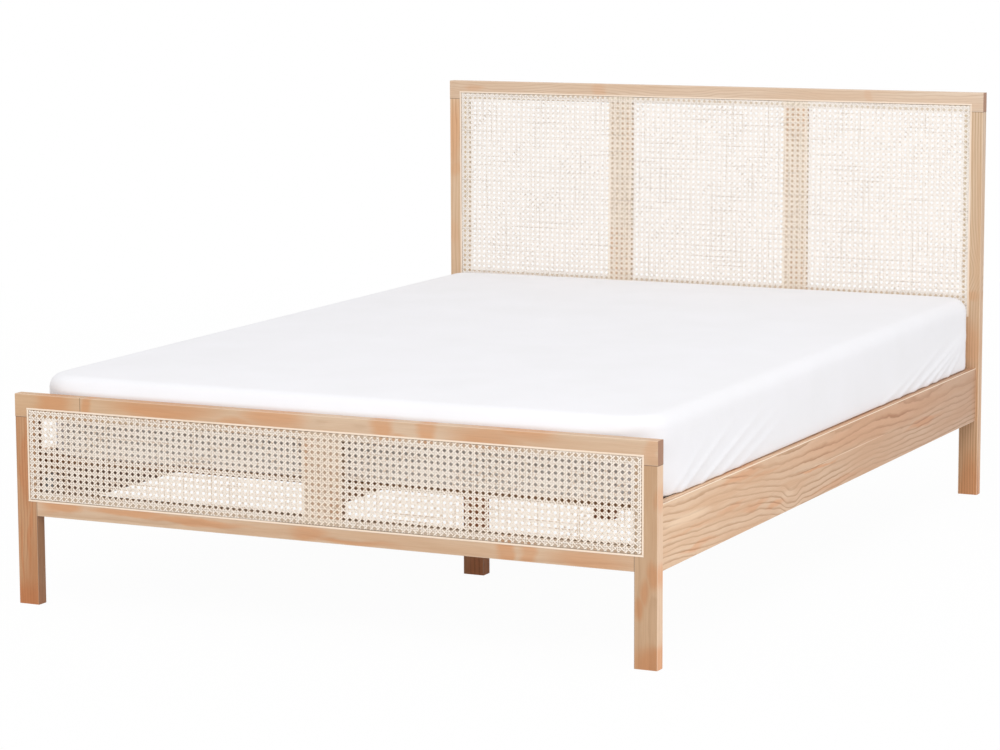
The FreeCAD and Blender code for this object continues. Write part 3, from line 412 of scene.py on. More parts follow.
def dressFrame():
    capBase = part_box("footboard_top_rail")[0].z
    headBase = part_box("headboard_top_rail")[0].z
    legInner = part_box("footboard_leg_right")[0].x
    sides = [("X", legInner), ("X", -legInner)]
    # patches and glints, the glints being painted highlights: place along the board, place across it,
    # half length, half width, strength
    boards = {
        "footboard_leg_left": ("Z", {
            "seed": 11, "tint": (0.80, 0.61, 0.455), "lines": 0.4, "spacing": 0.006, "mottle": 2.2,
            "joints": [("Z", capBase)] + sides,
            "paintedSideShading": (1, (1.75, 1.7, 1.65)),
            "patches": [(0.01, -0.725, 0.06, 0.08, 1.0), (0.30, -0.713, 0.14, 0.010, 0.6),
                        (0.15, -0.70, 0.12, 0.008, 0.6), (0.10, -0.722, 0.10, 0.006, 0.6)]}),
        "footboard_leg_right": ("Z", {
            "seed": 12, "tint": (0.83, 0.77, 0.685), "lines": 0.25, "pith": (0.02, 0.05), "mottle": 1.5,
            "joints": [("Z", capBase)] + sides,
            "paintedSideShading": (1, (1.5, 1.6, 1.8)),
            "patches": [(0.335, 0.731, 0.035, 0.013, 0.5), (0.120, 0.692, 0.032, 0.018, 0.8),
                        (0.150, 0.706, 0.036, 0.018, 0.8), (0.182, 0.725, 0.038, 0.018, 0.8),
                        (0.012, 0.722, 0.050, 0.060, 1.0), (0.03, 0.728, 0.03, 0.02, 1.0)]}),
        "footboard_top_rail": ("X", {
            "seed": 13, "tint": (0.935, 0.86, 0.745), "farTint": (0.99, 1.01, 1.02),
            "fade": (-0.66, -0.1), "lines": 0.25, "spacing": 0.012, "pith": (0.01, 0.05),
            "joints": [("Z", capBase), ("X", -0.571)],
            "patches": [(-0.635, 0.435, 0.065, 0.06, 0.8), (-0.555, 0.435, 0.016, 0.08, 0.8),
                        (-0.37, 0.44, 0.17, 0.045, 1.0), (-0.20, 0.418, 0.06, 0.02, 0.8),
                        (-0.11, 0.437, 0.10, 0.045, 0.9), (0.135, 0.44, 0.035, 0.06, 0.9),
                        (0.16, 0.418, 0.05, 0.014, 0.8), (0.235, 0.435, 0.028, 0.08, 0.9),
                        (0.37, 0.426, 0.11, 0.034, 1.0), (0.45, 0.446, 0.10, 0.026, 1.0),
                        (0.72, 0.43, 0.022, 0.08, 0.5)]}),
        "footboard_bottom_rail": ("X", {
            "seed": 14, "tint": (0.98, 0.98, 0.97), "lines": 0.3, "spacing": 0.012, "pith": (0.02, 0.06),
            "joints": sides,
            "patches": [(-0.62, 0.216, 0.07, 0.02, 1.0), (-0.46, 0.214, 0.14, 0.012, 0.9),
                        (-0.30, 0.210, 0.18, 0.010, 0.9), (-0.03, 0.206, 0.06, 0.022, 1.0),
                        (0.07, 0.196, 0.13, 0.010, 0.9), (0.407, 0.20, 0.026, 0.08, 1.0),
                        (0.415, 0.20, 0.018, 0.08, 1.0), (0.457, 0.20, 0.024, 0.08, 0.8),
                        (0.59, 0.203, 0.12, 0.03, 0.8)]}),
        "footboard_centre_stile": ("Z", {"seed": 15, "tint": (0.95, 0.92, 0.90)}),
        "headboard_leg_left": ("Z", {
            "seed": 16, "tint": (1.02, 0.99, 0.95), "farTint": (1.08, 1.10, 1.06),
            "joints": [("Z", headBase)],
            "patches": [(0.86, -0.72, 0.14, 0.03, 0.7), (0.77, -0.715, 0.03, 0.03, 0.6),
                        (0.60, -0.72, 0.05, 0.02, 0.3)]}),
        "headboard_leg_right": ("Z", {
            "seed": 17, "tint": (1.05, 0.92, 0.78), "farTint": (1.02, 1.07, 1.07), "fade": (0.10, 0.50),
            "lines": 0.8, "spacing": 0.0065, "pith": (0.2, 0.06), "wander": 0.5, "mottle": 1.3,
            "bend": legBend, "paintedSideShading": (1, (1.04, 1.05, 1.10)),
            "joints": [("Z", headBase)],
            "patches": [(0.38, 0.715, 0.07, 0.03, 0.5), (0.50, 0.715, 0.02, 0.03, 0.6),
                        (0.02, 0.715, 0.12, 0.04, 0.8)]}),
        "headboard_top_rail": ("X", {
            "seed": 18, "tint": (1.06, 1.12, 1.18), "farTint": (1.11, 1.23, 1.37), "lines": 0.42,
            "spacing": 0.0052, "wander": 1.3, "pith": (0.1, 0.06), "bend": headBend,
            "joints": [("Z", headBase)],
            "patches": [(-0.302, 0.985, 0.026, 0.05, 0.45), (0.433, 0.985, 0.013, 0.05, 0.35),
                        (-0.66, 0.985, 0.04, 0.014, 0.5)]}),
        "headboard_panel_rail": ("X", {"seed": 19}),
        "headboard_lower_rail": ("X", {"seed": 20}),
        "headboard_stile_left": ("Z", {"seed": 21}),
        "headboard_stile_right": ("Z", {"seed": 22}),
        "side_rail_left": ("Y", {
            "seed": 23, "tint": (1.24, 1.24, 1.22), "farTint": (0.88, 0.80, 0.775), "lines": 0.8,
            "spacing": 0.0105, "wander": 1.25, "bend": railBend, "edgeHighlight": 0.9, "mottle": 1.3,
            "paintedSideShading": (1, (0.36, 0.33, 0.32)), "pushes": [(0.30, 0.24, 0.06, 0.03, 0.014)],
            "patches": [(0.1, 0.30, 0.5, 0.02, 0.4), (-0.5, 0.22, 0.2, 0.02, 0.5)]}),
        "side_rail_right": ("Y", {
            "seed": 24, "tint": (1.24, 1.24, 1.22), "farTint": (0.88, 0.80, 0.775), "lines": 0.8,
            "spacing": 0.0105, "pith": (0.11, -0.07), "wander": 1.25, "bend": railBend, "edgeHighlight": 0.9,
            "mottle": 1.3, "paintedSideShading": (-1, (0.36, 0.33, 0.32)),
            "pushes": [(-0.285, 0.212, 0.075, 0.05, 0.013)],
            "glints": [(0.065, 0.2572, 0.38, 0.0016, 0.55), (-0.86, 0.27, 0.16, 0.014, 0.3),
                       (-0.30, 0.225, 0.05, 0.01, 0.15)],
            "patches": [(-0.12, 0.251, 0.17, 0.005, 0.9), (0.60, 0.245, 0.18, 0.012, 0.8),
                        (-0.58, 0.308, 0.16, 0.014, 0.8), (-0.45, 0.290, 0.12, 0.008, 0.6),
                        (-0.63, 0.252, 0.10, 0.010, 0.6), (-0.50, 0.232, 0.10, 0.010, 0.7),
                        (-0.38, 0.215, 0.08, 0.010, 0.7), (-0.85, 0.245, 0.16, 0.008, 0.4),
                        (-0.80, 0.205, 0.14, 0.008, 0.6), (0.25, 0.290, 0.75, 0.045, 0.55),
                        (0.0, 0.20, 0.25, 0.010, 0.5)]}),
    }
    for name, (grain, settings) in boards.items():
        end = name.split("_")[0]
        panel = end if end in caneShadeAndLight else None
        dress(name, wood("frameWood_" + name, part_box(name), woodLook, grain, panel=panel, **settings))
    slatted = [("slat_ledge_left", "Y"), ("slat_ledge_right", "Y"), ("centre_beam", "Y"),
               ("front_centre_leg", "Z"), ("rear_centre_leg", "Z")]
    slatted += [("slat_%02d" % number, "X") for number in range(1, 15)]
    chance = random.Random(5)
    for seed, (name, grain) in enumerate(slatted, start=40):
        tone = chance.uniform(0.92, 1.06)
        tint = [tone * part for part in slatTints["leg" if grain == "Z" else "slat"]]
        dress(name, wood("slatWood_" + name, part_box(name), slatLook, grain, seed, tint))
    print("stage: wood dressed")


# Steel, webbing and reed

steelLook = {
    "dark": (0.14, 0.135, 0.13),
    "light": (0.24, 0.235, 0.23),
    "spangle": 220.0,
    "grain": 900.0,
    "values": {"Metallic": 1.0, "Roughness": 0.42},
    "bump": (0.12, 0.0002),
}


def steel():
    material = newMaterial("zincedSteel")
    place = placeOn(material)
    spangle = addNode(material, "TexVoronoi", {"Vector": place, "Scale": steelLook["spangle"]})
    stops = [(0.0, steelLook["dark"]), (1.0, steelLook["light"])]
    tone = ramp(material, spangle.outputs["Color"], stops)
    grain = noiseAt(material, place, steelLook["grain"], 3.0)["Fac"]
    coat(material, tone, steelLook["values"], grain, *steelLook["bump"])
    return material


strapLook = {
    "light": (0.74, 0.71, 0.64),
    "dark": (0.58, 0.55, 0.48),
    "weft": ("Y", 66.847, 0.4),  # direction, scale and distortion
    "warp": ("X", 84.0, 0.0),
    "values": {"Roughness": 0.85},
    "bump": (0.4, 0.0004),
}


def webbing():
    material = newMaterial("strapWebbing")
    place = placeOn(material)
    woven = 0.0
    for way, scale, distortion in (strapLook["weft"], strapLook["warp"]):
        wave = addNode(material, "TexWave", {"Vector": place, "Scale": scale, "Distortion": distortion},
                       bands_direction=way)
        woven = calculate(material, "ADD", wave.outputs["Fac"], woven)
    tone = ramp(material, calculate(material, "MULTIPLY", woven, 0.5),
                [(0.0, strapLook["dark"]), (1.0, strapLook["light"])])
    coat(material, tone, strapLook["values"], woven, *strapLook["bump"])
    return material


reedLook = {
    "light": (0.94, 0.79, 0.65),
    "dark": (0.84, 0.67, 0.51),
    "fibre": (9.0, 900.0),  # scale along and across the reed
    "values": {"Roughness": 0.42},
    "bump": (0.2, 0.0003),
}


def reed(name, grain, seed):
    material = newMaterial(name)
    scale = alongGrain(grain, *reedLook["fibre"])
    thin = placed(material, placeOn(material), scale, (seed, seed, seed))
    fibre = noiseAt(material, thin, 1.0, 4.0)["Fac"]
    tone = ramp(material, fibre, [(0.3, reedLook["dark"]), (0.6, reedLook["light"])])
    coat(material, tone, reedLook["values"], fibre, *reedLook["bump"])
    return material


def dressFittings():
    metal = steel()
    for name in ("corner_angle_foot_left", "corner_angle_foot_right", "corner_angle_head_left",
                 "corner_angle_head_right", "beam_hanger_foot", "beam_hanger_head", "corner_angle_bolts",
                 "centre_leg_bolts", "beam_hanger_bolts"):
        dress(name, metal)
    tape = webbing()
    dress("slat_strap_left", tape)
    dress("slat_strap_right", tape)
    for board in ("footboard", "headboard"):
        for number, side in enumerate(("top", "bottom", "left", "right")):
            name = "%s_spline_%s" % (board, side)
            look = reed("splineReed_%s_%s" % (board, side), "X" if number < 2 else "Z", number * 3.7)
            dress(name, look)
    print("stage: fittings dressed")


# Cane: pairs of uprights and crossings with two sets of diagonals between them

caneShape = {
    "pairHalf": 0.00195,
    "width": 0.00235,
    "diagonalWidth": 0.0031,
    "front": 0.00035,
    "back": 0.00015,
    "lift": 0.0003,
    "diagonalLift": 0.00055,
    "diagonalRest": 0.0028,
    "grooveGap": 0.0011,
    "flatten": 0.003,
    "wander": 0.0002,
    "standOff": 0.0009,
    "edgeLevel": 0.0005,
    "tuckStart": 0.0003,
    "tuckReach": 0.0008,
    "tuckDepth": 0.0042,
    "nearWood": 0.006,  # how far beside the wood the painted warm bounce light on the strands reaches
}
footCane = {
    "pitch": 0.014142,
    "rowPitch": 0.0132,
    "firstHole": (-0.68375, 0.4002),
    "fall": -0.23,
    "seed": 3,
    "middle": 0.33,
    "stretchX": (-0.00177, 0.00037, -0.00039, 0.00535),
    "stretchZ": (0.00035, -0.00086, -0.00771, -0.01196),
}
headCane = {
    "pitch": 0.01427,
    "rowPitch": 0.0129,
    "firstHole": (-0.6933, 0.9630),
    "fall": -0.3,
    "seed": 8,
    "middle": 0.72,
    "stretchX": (0.00029, -0.00519, -0.0005, -0.0075),
    "stretchZ": (0.0001, -0.00086, 0.00344, -0.0134),
}


def strand(length, width, rings):
    first = rings[0][0]
    bpy.ops.object.select_all(action="DESELECT")
    bpy.ops.mesh.primitive_cylinder_add(vertices=4, radius=0.5, depth=length, end_fill_type="NOTHING",
                                        location=(0, 0, length * (first + 0.5)))
    piece = bpy.context.object
    bpy.ops.object.transform_apply(location=True)
    openMesh(piece)
    for share, _ in rings[1:-1]:
        bpy.ops.mesh.select_all(action="SELECT")
        bpy.ops.mesh.bisect(plane_co=(0, 0, share * length), plane_no=(0, 0, 1))
    closeMesh()
    # rim marks the strand edges for the painted shade in the cane material
    rim = piece.data.attributes.new("rim", "FLOAT", "POINT")
    for vertex in piece.data.vertices:
        rim.data[vertex.index].value = 1.0 if abs(vertex.co.x) > 0.25 else 0.0
        share = vertex.co.z / length
        lift = min(rings, key=lambda ring: abs(ring[0] - share))[1]
        vertex.co.x *= width
        side = "back" if vertex.co.y > 0 else "front"
        vertex.co.y = vertex.co.y * 2 * caneShape[side] - lift
    return piece


def caneUnit(kind, pitch):
    half = caneShape["pairHalf"]
    near = 0.5 - half / pitch
    lift = caneShape["lift"]
    high = caneShape["diagonalLift"]
    if kind in ("uprights", "crossings"):
        way = 1 if kind == "uprights" else -1
        pair = []
        for side in (-1, 1):
            level = lift * side * way
            rings = [(near, level), (1 - near, -level), (1 + near, level)]
            piece = strand(pitch, caneShape["width"], rings)
            piece.data.transform(Matrix.Translation((side * half, 0, 0)))
            pair.append(piece)
        unit = joinPieces(*pair)
        turn = Matrix.Translation((pitch / 2, 0, 0))
        if kind == "crossings":
            turn = Matrix.Translation((0, 0, pitch / 2)) @ Matrix.Rotation(math.radians(90), 4, "Y")
        unit.data.transform(turn)
        return unit
    way = 1 if kind == "rising" else -1
    length = pitch * math.sqrt(2)
    rest = caneShape["diagonalRest"] / length
    unit = strand(length, caneShape["diagonalWidth"], [
        (rest, high * way), (0.5 - rest, -high * way), (0.5 + rest, -high * way), (1 - rest, high * way),
        (1 + rest, high * way)])
    turn = Matrix.Rotation(math.radians(45 * way), 4, "Y")
    unit.data.transform(Matrix.Translation((pitch / 2, 0, 0)) @ turn)
    return unit


def caneFamily(name, kind, values, low, top):
    pitch = values["pitch"]
    columns = math.ceil((top.x - low.x) / pitch) + 3
    rows = math.ceil((top.z - low.z) / values["rowPitch"]) + 3
    piece = caneUnit(kind, pitch)
    if kind == "uprights":
        repeat(piece, (0, 0, pitch), rows)
        repeat(piece, (pitch, 0, 0), columns)
    elif kind == "crossings":
        repeat(piece, (pitch, 0, 0), columns)
        repeat(piece, (0, 0, pitch), rows)
    else:
        way = 1 if kind == "rising" else -1
        repeat(piece, (way * pitch, 0, pitch), rows)
        repeat(piece, (pitch, 0, 0), columns + rows)
        if way > 0:
            piece.data.transform(Matrix.Translation((-pitch * rows, 0, 0)))
    piece.name = name
    piece.data.name = name
    firstX, firstZ = values["firstHole"]
    front = top.y
    middle = front - caneShape["standOff"]
    squash = Matrix.Scale(values["rowPitch"] / pitch, 4, (0, 0, 1))
    base = firstZ - (rows - 2) * values["rowPitch"]
    turn = Matrix.Translation((0, 0, base)) @ Matrix.Rotation(math.radians(-values["fall"]), 4, "Y")
    piece.data.transform(turn @ Matrix.Translation((firstX - 2 * pitch, middle, 0)) @ squash)
    pullCane(piece, kind, values)
    tuckCane(piece, low, top, front)
    return piece


def pullCane(piece, kind, values):
    ways = {"uprights": (1, 0), "crossings": (0, 1), "rising": (0.7, -0.7), "falling": (0.7, 0.7)}
    across = ways[kind]
    reach = caneShape["wander"]
    stretchX, stretchZ = values["stretchX"], values["stretchZ"]
    noise.seed_set(values["seed"])  # noise_vector starts from the clock otherwise
    for vertex in piece.data.vertices:
        x, z = vertex.co.x, vertex.co.z
        up = z - values["middle"]
        terms = (1, x, up, x * up)
        loose = noise.noise_vector(Vector((x * 14, values["seed"], z * 14)))
        own = noise.noise(Vector(((across[0] * x + across[1] * z) * 330, values["seed"], (x + z) * 4)))
        vertex.co.x += sum(a * b for a, b in zip(stretchX, terms)) + reach * (loose.x + own * across[0])
        vertex.co.z += sum(a * b for a, b in zip(stretchZ, terms)) + reach * (loose.z + own * across[1])


def tuckCane(piece, low, top, front):
    flat = caneShape["flatten"]
    sides = [((low.x, 0, 0), (-1, 0, 0)), ((top.x, 0, 0), (1, 0, 0)), ((0, 0, low.z), (0, 0, -1)),
             ((0, 0, top.z), (0, 0, 1))]
    cuts = [(caneShape["tuckReach"], True), (-caneShape["tuckStart"], False), (-flat, False)]
    openMesh(piece)
    for depth, clear in cuts:
        for edge, way in sides:
            spot = [edge[axis] + depth * way[axis] for axis in range(3)]
            bpy.ops.mesh.select_all(action="SELECT")
            bpy.ops.mesh.bisect(plane_co=spot, plane_no=way, clear_outer=clear)
    bpy.ops.mesh.select_all(action="SELECT")
    bpy.ops.mesh.fill_holes(sides=8)
    bpy.ops.mesh.select_all(action="SELECT")
    bpy.ops.mesh.normals_make_consistent(inside=False)
    closeMesh()
    bpy.ops.object.shade_smooth_by_angle(angle=math.radians(50))
    for vertex in piece.data.vertices:
        spot = vertex.co
        inside = min(spot.x - low.x, top.x - spot.x, spot.z - low.z, top.z - spot.z)
        if inside < flat:
            level = front - caneShape["edgeLevel"]
            spot.y = level + (spot.y - level) * max(0.35, inside / flat)
        if inside < -caneShape["tuckStart"]:
            spot.y += caneShape["tuckDepth"]


caneLook = {
    "footboard": {
        "light": (1.0, 0.92, 0.83),
        "middle": (0.98, 0.87, 0.765),
        "dark": (0.66, 0.51, 0.38),
        # rim and softRim: painted shade at the strand edges
        "rim": (0.42, 0.31, 0.22),
        "softRim": (0.76, 0.67, 0.57),
        "pairs": 0.91,
        "woodBounceLight": (1.0, 0.97, 0.93),
    },
    "headboard": {
        "light": (1.0, 0.94, 0.88),
        "middle": (0.98, 0.915, 0.85),
        "dark": (0.70, 0.61, 0.53),
        # rim and softRim: painted shade at the strand edges
        "rim": (0.50, 0.42, 0.36),
        "softRim": (0.96, 0.92, 0.88),
        "pairs": 0.96,
        "woodBounceLight": (1.0, 0.96, 0.90),
    },
}
caneFibre = {
    "strand": (260, 0, 6),  # scale across, through and along a strand
    "fibre": (2600, 2600, 40),
    "tones": ((0.33, "dark"), (0.41, "middle"), (0.56, "light")),
    "streak": (0.94, 0.92, 0.89),
    "values": {"Roughness": 0.4},
    "bump": (0.15, 0.0001),
}


def caneMaterial(name, look, kind, seed, stiles):
    material = newMaterial(name)
    place = placeOn(material)
    lean = {"uprights": 0, "crossings": 90, "rising": 45, "falling": -45}[kind]
    turned = placed(material, place, (1, 1, 1), (seed, 0, seed), (0, math.radians(lean), 0))
    tones = noiseAt(material, placed(material, turned, caneFibre["strand"]), 1.0, 1.0)
    fibre = noiseAt(material, placed(material, turned, caneFibre["fibre"]), 1.0, 3.0)["Fac"]
    # Painted shade: the uprights and crossings, lying under the diagonals, are darker.
    shade = look["pairs"] if kind in ("uprights", "crossings") else 1.0
    stops = [(level, tuple(shade * part for part in look[tone])) for level, tone in caneFibre["tones"]]
    colour = ramp(material, tones["Fac"], stops)
    streaks = ramp(material, fibre, [(0.3, caneFibre["streak"]), (0.6, (1, 1, 1))])
    colour = blendColours(material, "MULTIPLY", 0.8, colour, streaks)
    # Painted shade: the strand edges are darkened, strongly on some strands and lightly on others, like
    # shadow lines between strands.
    rim = addNode(material, "Attribute", attribute_name="rim")
    edge = between(material, rim.outputs["Fac"], 0.6, 0.95)
    own = parts(material, tones["Color"])[1]
    paintedRimShade = ramp(material, own, [(0.38, look["rim"]), (0.56, look["softRim"])])
    colour = blendColours(material, "MULTIPLY", edge, colour, paintedRimShade)
    # Painted light: strands over and beside the stiles are warmed, like light bounced from the wood
    # behind.
    across = parts(material, place)[0]
    for board in stiles:
        middle, half = span(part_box(board), 0)
        over = nearLine(material, across, middle, half + caneShape["nearWood"], 1.0)
        colour = blendColours(material, "MULTIPLY", over, colour, look["woodBounceLight"])
    coat(material, colour, caneFibre["values"], fibre, *caneFibre["bump"])
    return material


def weaveCane():
    gap = caneShape["grooveGap"]
    for end, values in (("footboard", footCane), ("headboard", headCane)):
        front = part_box(end + "_top_rail")[0].y
        stiles = [name for name in nodes if name.startswith(end) and "stile" in name]
        left, right, bottom, upper = (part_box("%s_spline_%s" % (end, side))
                                      for side in ("left", "right", "bottom", "top"))
        low = Vector((left[1].x + gap, front, bottom[1].z + gap))
        top = Vector((right[0].x - gap, front, upper[0].z - gap))
        for number, kind in enumerate(("uprights", "crossings", "rising", "falling")):
            name = "%sCane%s" % (end, kind.capitalize())
            piece = caneFamily(name, kind, values, low, top)
            seed = values["seed"] + number * 2.3
            look = caneMaterial("cane_" + name, caneLook[end], kind, seed, stiles)
            piece.data.materials.append(look)
            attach(piece, "bed_frame")
            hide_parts(end + "_cane")
            print("stage:", name, len(piece.data.polygons), "faces")


# Mattress and fitted sheet

softShape = {
    "corner": 0.08,
    "topRound": 0.028,
    "baseRound": 0.014,
    "crown": 0.005,
    "crownInset": 0.33,
    "hem": 0.034,
    "sideStep": 0.0036,
    "pathStep": 0.0105,
    "topInsets": (0.036, 0.048, 0.064, 0.088, 0.12, 0.16, 0.21, 0.27, 0.34, 0.41, 0.48, 0.56, 0.63),
    "shelfSteps": (0.0006, 0.0015, 0.0028, 0.0042),  # rings where the sides come out over the rails
    "shelfGap": (-0.001, 0.005),
    "cornerSteps": 14,
    "sheetThickness": 0.0009,
    "rise": 0.0072,
    "overhang": 0.0095,
    "edgeReach": 0.14,
    "shelfStart": 0.0005,
    "shelfRise": 0.0024,
    "topEase": 0.05,
    "topDraw": 0.35,
    "headSquare": 0.16,
    "coreLift": 0.0011,
    "footTaper": 0.0105,
    "footReach": 0.16,
    "taperTop": 0.385,
    "taperEase": 0.06,
    "footBulge": 0.0080,
    "bulgeReach": 0.03,
    "underCap": (0.012, 0.018),
    "overCap": (0.010, 0.016),
}


def roundedPath(halfX, halfY, radius, steps):
    points = []
    for number, (signX, signY) in enumerate(((1, -1), (1, 1), (-1, 1), (-1, -1))):
        centre = Vector((signX * (halfX - radius), signY * (halfY - radius)))
        for step in range(softShape["cornerSteps"] + 1):
            angle = math.radians(90 * (number - 1) + 90 * step / softShape["cornerSteps"])
            points.append(centre + radius * Vector((math.cos(angle), math.sin(angle))))
        nextX, nextY = ((1, 1), (-1, 1), (-1, -1), (1, -1))[number]
        angle = math.radians(90 * number)
        finish = Vector((nextX * (halfX - radius), nextY * (halfY - radius)))
        finish += radius * Vector((math.cos(angle), math.sin(angle)))
        start = points[-1]
        count = steps[number % 2]
        points += [start.lerp(finish, share / count) for share in range(1, count)]
    return points


def softRings(halfX, height, hem, shelf):
    topRound, baseRound = softShape["topRound"], softShape["baseRound"]
    rings = [(halfX * share, 0) for share in (1, 0.8, 0.6, 0.4, 0.2)]
    if hem:
        rings = [(baseRound + hem * share, 0) for share in (1, 0.5)]
    straight = height - topRound - baseRound
    count = round(straight / softShape["sideStep"])
    levels = [baseRound * (1 - math.cos(math.radians(15 * step))) for step in range(7)]
    levels += [baseRound + straight * step / count for step in range(1, count)]
    near, far = softShape["shelfGap"]
    levels = [level for level in levels if not near < level - shelf < far]
    levels += [shelf + up for up in softShape["shelfSteps"]]
    for level in sorted(levels):
        under = max(1 - level / baseRound, 0)
        rings.append((baseRound * (1 - math.sqrt(1 - under * under)), level))
    for step in range(8):
        angle = math.radians(90 * step / 7)
        rings.append((topRound * (1 - math.cos(angle)), height - topRound * (1 - math.sin(angle))))
    reach = softShape["crownInset"] - topRound
    for inset in (*softShape["topInsets"], halfX):
        share = min((inset - topRound) / reach, 1)
        rings.append((min(inset, halfX), height + softShape["crown"] * (1 - (1 - share) ** 2)))
    return rings


def softShell(name, node, hem, lift):
    low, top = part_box(node)
    middle = (low + top) / 2
    halfX, halfY = (top.x - low.x) / 2, (top.y - low.y) / 2
    height = top.z - low.z - softShape["crown"]
    corner = softShape["corner"]
    steps = [round(2 * (half - corner) / softShape["pathStep"]) for half in (halfY, halfX)]
    corners, faces = [], []
    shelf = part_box("side_rail_right")[1].z - low.z
    for inset, level in softRings(halfX, height, hem, shelf):
        spot = min(inset, halfX - 0.0002)
        radius = min(max(corner - inset, 0.0002), halfX - spot)
        for point in roundedPath(halfX - spot, halfY - spot, radius, steps):
            corners.append((middle.x + point.x, middle.y + point.y, low.z + level))
    around = 4 * (softShape["cornerSteps"] + 1) + 2 * sum(steps) - 4
    for start in range(0, len(corners) - around, around):
        for step in range(around):
            after = (step + 1) % around
            faces.append((start + step, start + after, start + around + after, start + around + step))
    mesh = bpy.data.meshes.new(name)
    mesh.from_pydata(corners, [], faces)
    piece = bpy.data.objects.new(name, mesh)
    bpy.context.scene.collection.objects.link(piece)
    settle(piece, lift)
    openMesh(piece)
    bpy.ops.mesh.remove_doubles(threshold=0.0005)
    bpy.ops.mesh.normals_make_consistent(inside=False)
    closeMesh()
    bpy.ops.object.shade_smooth()
    return piece


def ease(value):
    share = max(0.0, min(1.0, value))
    return share * share * (3 - 2 * share)


def settle(piece, lift):
    shape = softShape
    low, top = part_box("fitted_sheet")
    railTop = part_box("side_rail_right")[1].z
    capLow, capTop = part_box("footboard_top_rail")
    middleY = (low.y + top.y) / 2
    cornerX, cornerY = top.x - shape["corner"], top.y - shape["corner"]
    for vertex in piece.data.vertices:
        x, y, z = vertex.co
        side = math.copysign(1, x)
        overX, overY = abs(x) - cornerX, y - cornerY
        if overX > 0 and overY > 0:  # squarer corners at the head
            push = shape["headSquare"] * (2 * overX * overY / (overX ** 2 + overY ** 2)) ** 2
            x, y = x + side * overX * push, y + overY * push
            vertex.co.x, vertex.co.y = x, y
        height = (z - low.z) / (top.z - low.z)
        outer = ease((abs(x) - top.x + shape["edgeReach"]) / shape["edgeReach"])
        clear = ease((z - railTop - shape["shelfStart"] - lift) / shape["shelfRise"])
        clear *= 1 - shape["topDraw"] * ease((z - top.z + shape["topEase"]) / shape["topEase"])
        reach = shape["footReach"]
        foot = ease((low.y + reach - y) / reach) * ease((abs(x) - top.x + reach) / reach)
        taper = shape["footTaper"] * foot * (1 - ease((z - shape["taperTop"]) / shape["taperEase"]))
        vertex.co.x += side * (shape["overhang"] * outer * clear * (1 - 0.7 * foot) - taper)
        (under, rise), (over, fall) = shape["underCap"], shape["overCap"]
        behindCap = ease((z - capLow.z + under) / rise) * (1 - ease((z - capTop.z - over) / fall))
        end = ease((low.y + shape["bulgeReach"] - y) / shape["bulgeReach"])
        vertex.co.y += taper - shape["footBulge"] * behindCap * end * (1 - foot)
        vertex.co.z += shape["rise"] * (y - middleY) * height


folds = {
    "height": 0.0028,
    "width": 0.0062,
    "starts": (0.93, 0.83, 0.74, 0.66, 0.57, 0.47, 0.36, -0.55, -0.66, -0.76, -0.84, -0.90),
    "lengths": (0.10, 0.20, 0.28, 0.34, 0.38, 0.36, 0.28, 0.26, 0.30, 0.30, 0.24, 0.16),
    "rises": (0.06, 0.09, 0.105, 0.11, 0.10, 0.085, 0.06, 0.06, 0.085, 0.10, 0.10, 0.08),
    "sizes": (0.6, 1.0, 0.9, 1.1, 1.0, 0.8, 0.5, 0.5, 0.7, 0.9, 0.8, 0.6),
    "band": 0.02,
    "baseUp": 0.006,
    "most": 1.6,
    "headFade": (0.90, 0.05, 0.75),  # where the folds fade at the head, over what length, by what share
    "waves": 0.0009,
}


def foldSheet(piece):
    low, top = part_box("fitted_sheet")
    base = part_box("side_rail_right")[1].z + folds["baseUp"]
    headStart, headEase, headShare = folds["headFade"]
    chance = random.Random(17)
    drawn = [folds[key] for key in ("starts", "lengths", "rises", "sizes")]
    lines = []
    for side in (-1, 1):
        for start, length, rise, size in zip(*drawn):
            start += chance.uniform(-0.015, 0.015)
            length *= chance.uniform(0.9, 1.15)
            lines.append((side, start, length, rise * chance.uniform(0.9, 1.1), size))
    for vertex in piece.data.vertices:
        spot = vertex.co
        outward = vertex.normal.copy()
        if abs(spot.x) > top.x - folds["band"] and spot.z > base - folds["band"]:
            lift = 0.0
            for side, start, length, rise, size in lines:
                share = (spot.y - start) / length
                if side * spot.x > 0 and -0.25 < share < 1.25:
                    off = (spot.z - base - rise * share) / (folds["width"] * (0.8 + 0.7 * share))
                    fade = ease((share + 0.25) / 0.3) * ease((1.25 - share) / 0.9)
                    lift += size * fade * math.exp(-off * off)
            lift = min(lift, folds["most"]) * (1 - headShare * ease((spot.y - headStart) / headEase))
            vertex.co += outward * folds["height"] * lift
        if outward.z > 0.6:
            vertex.co.z += folds["waves"] * noise.noise(Vector((spot.x * 3.1, spot.y * 2.3, 4.2)))


sheetLook = {
    "light": (0.90, 0.895, 0.925),
    "dark": (0.88, 0.875, 0.90),
    "foot": (0.87, 0.845, 0.815),  # painted warm shade on the end behind the footboard cane
    "footDepth": (0.015, 0.005),
    "footTop": (0.45, 0.42),
    "thread": 2600.0,
    "crumple": 16.0,
    "values": {"Roughness": 0.9, "Specular IOR Level": 0.2, "Sheen Weight": 0.15},
    "bump": (0.25, 0.0035),
}


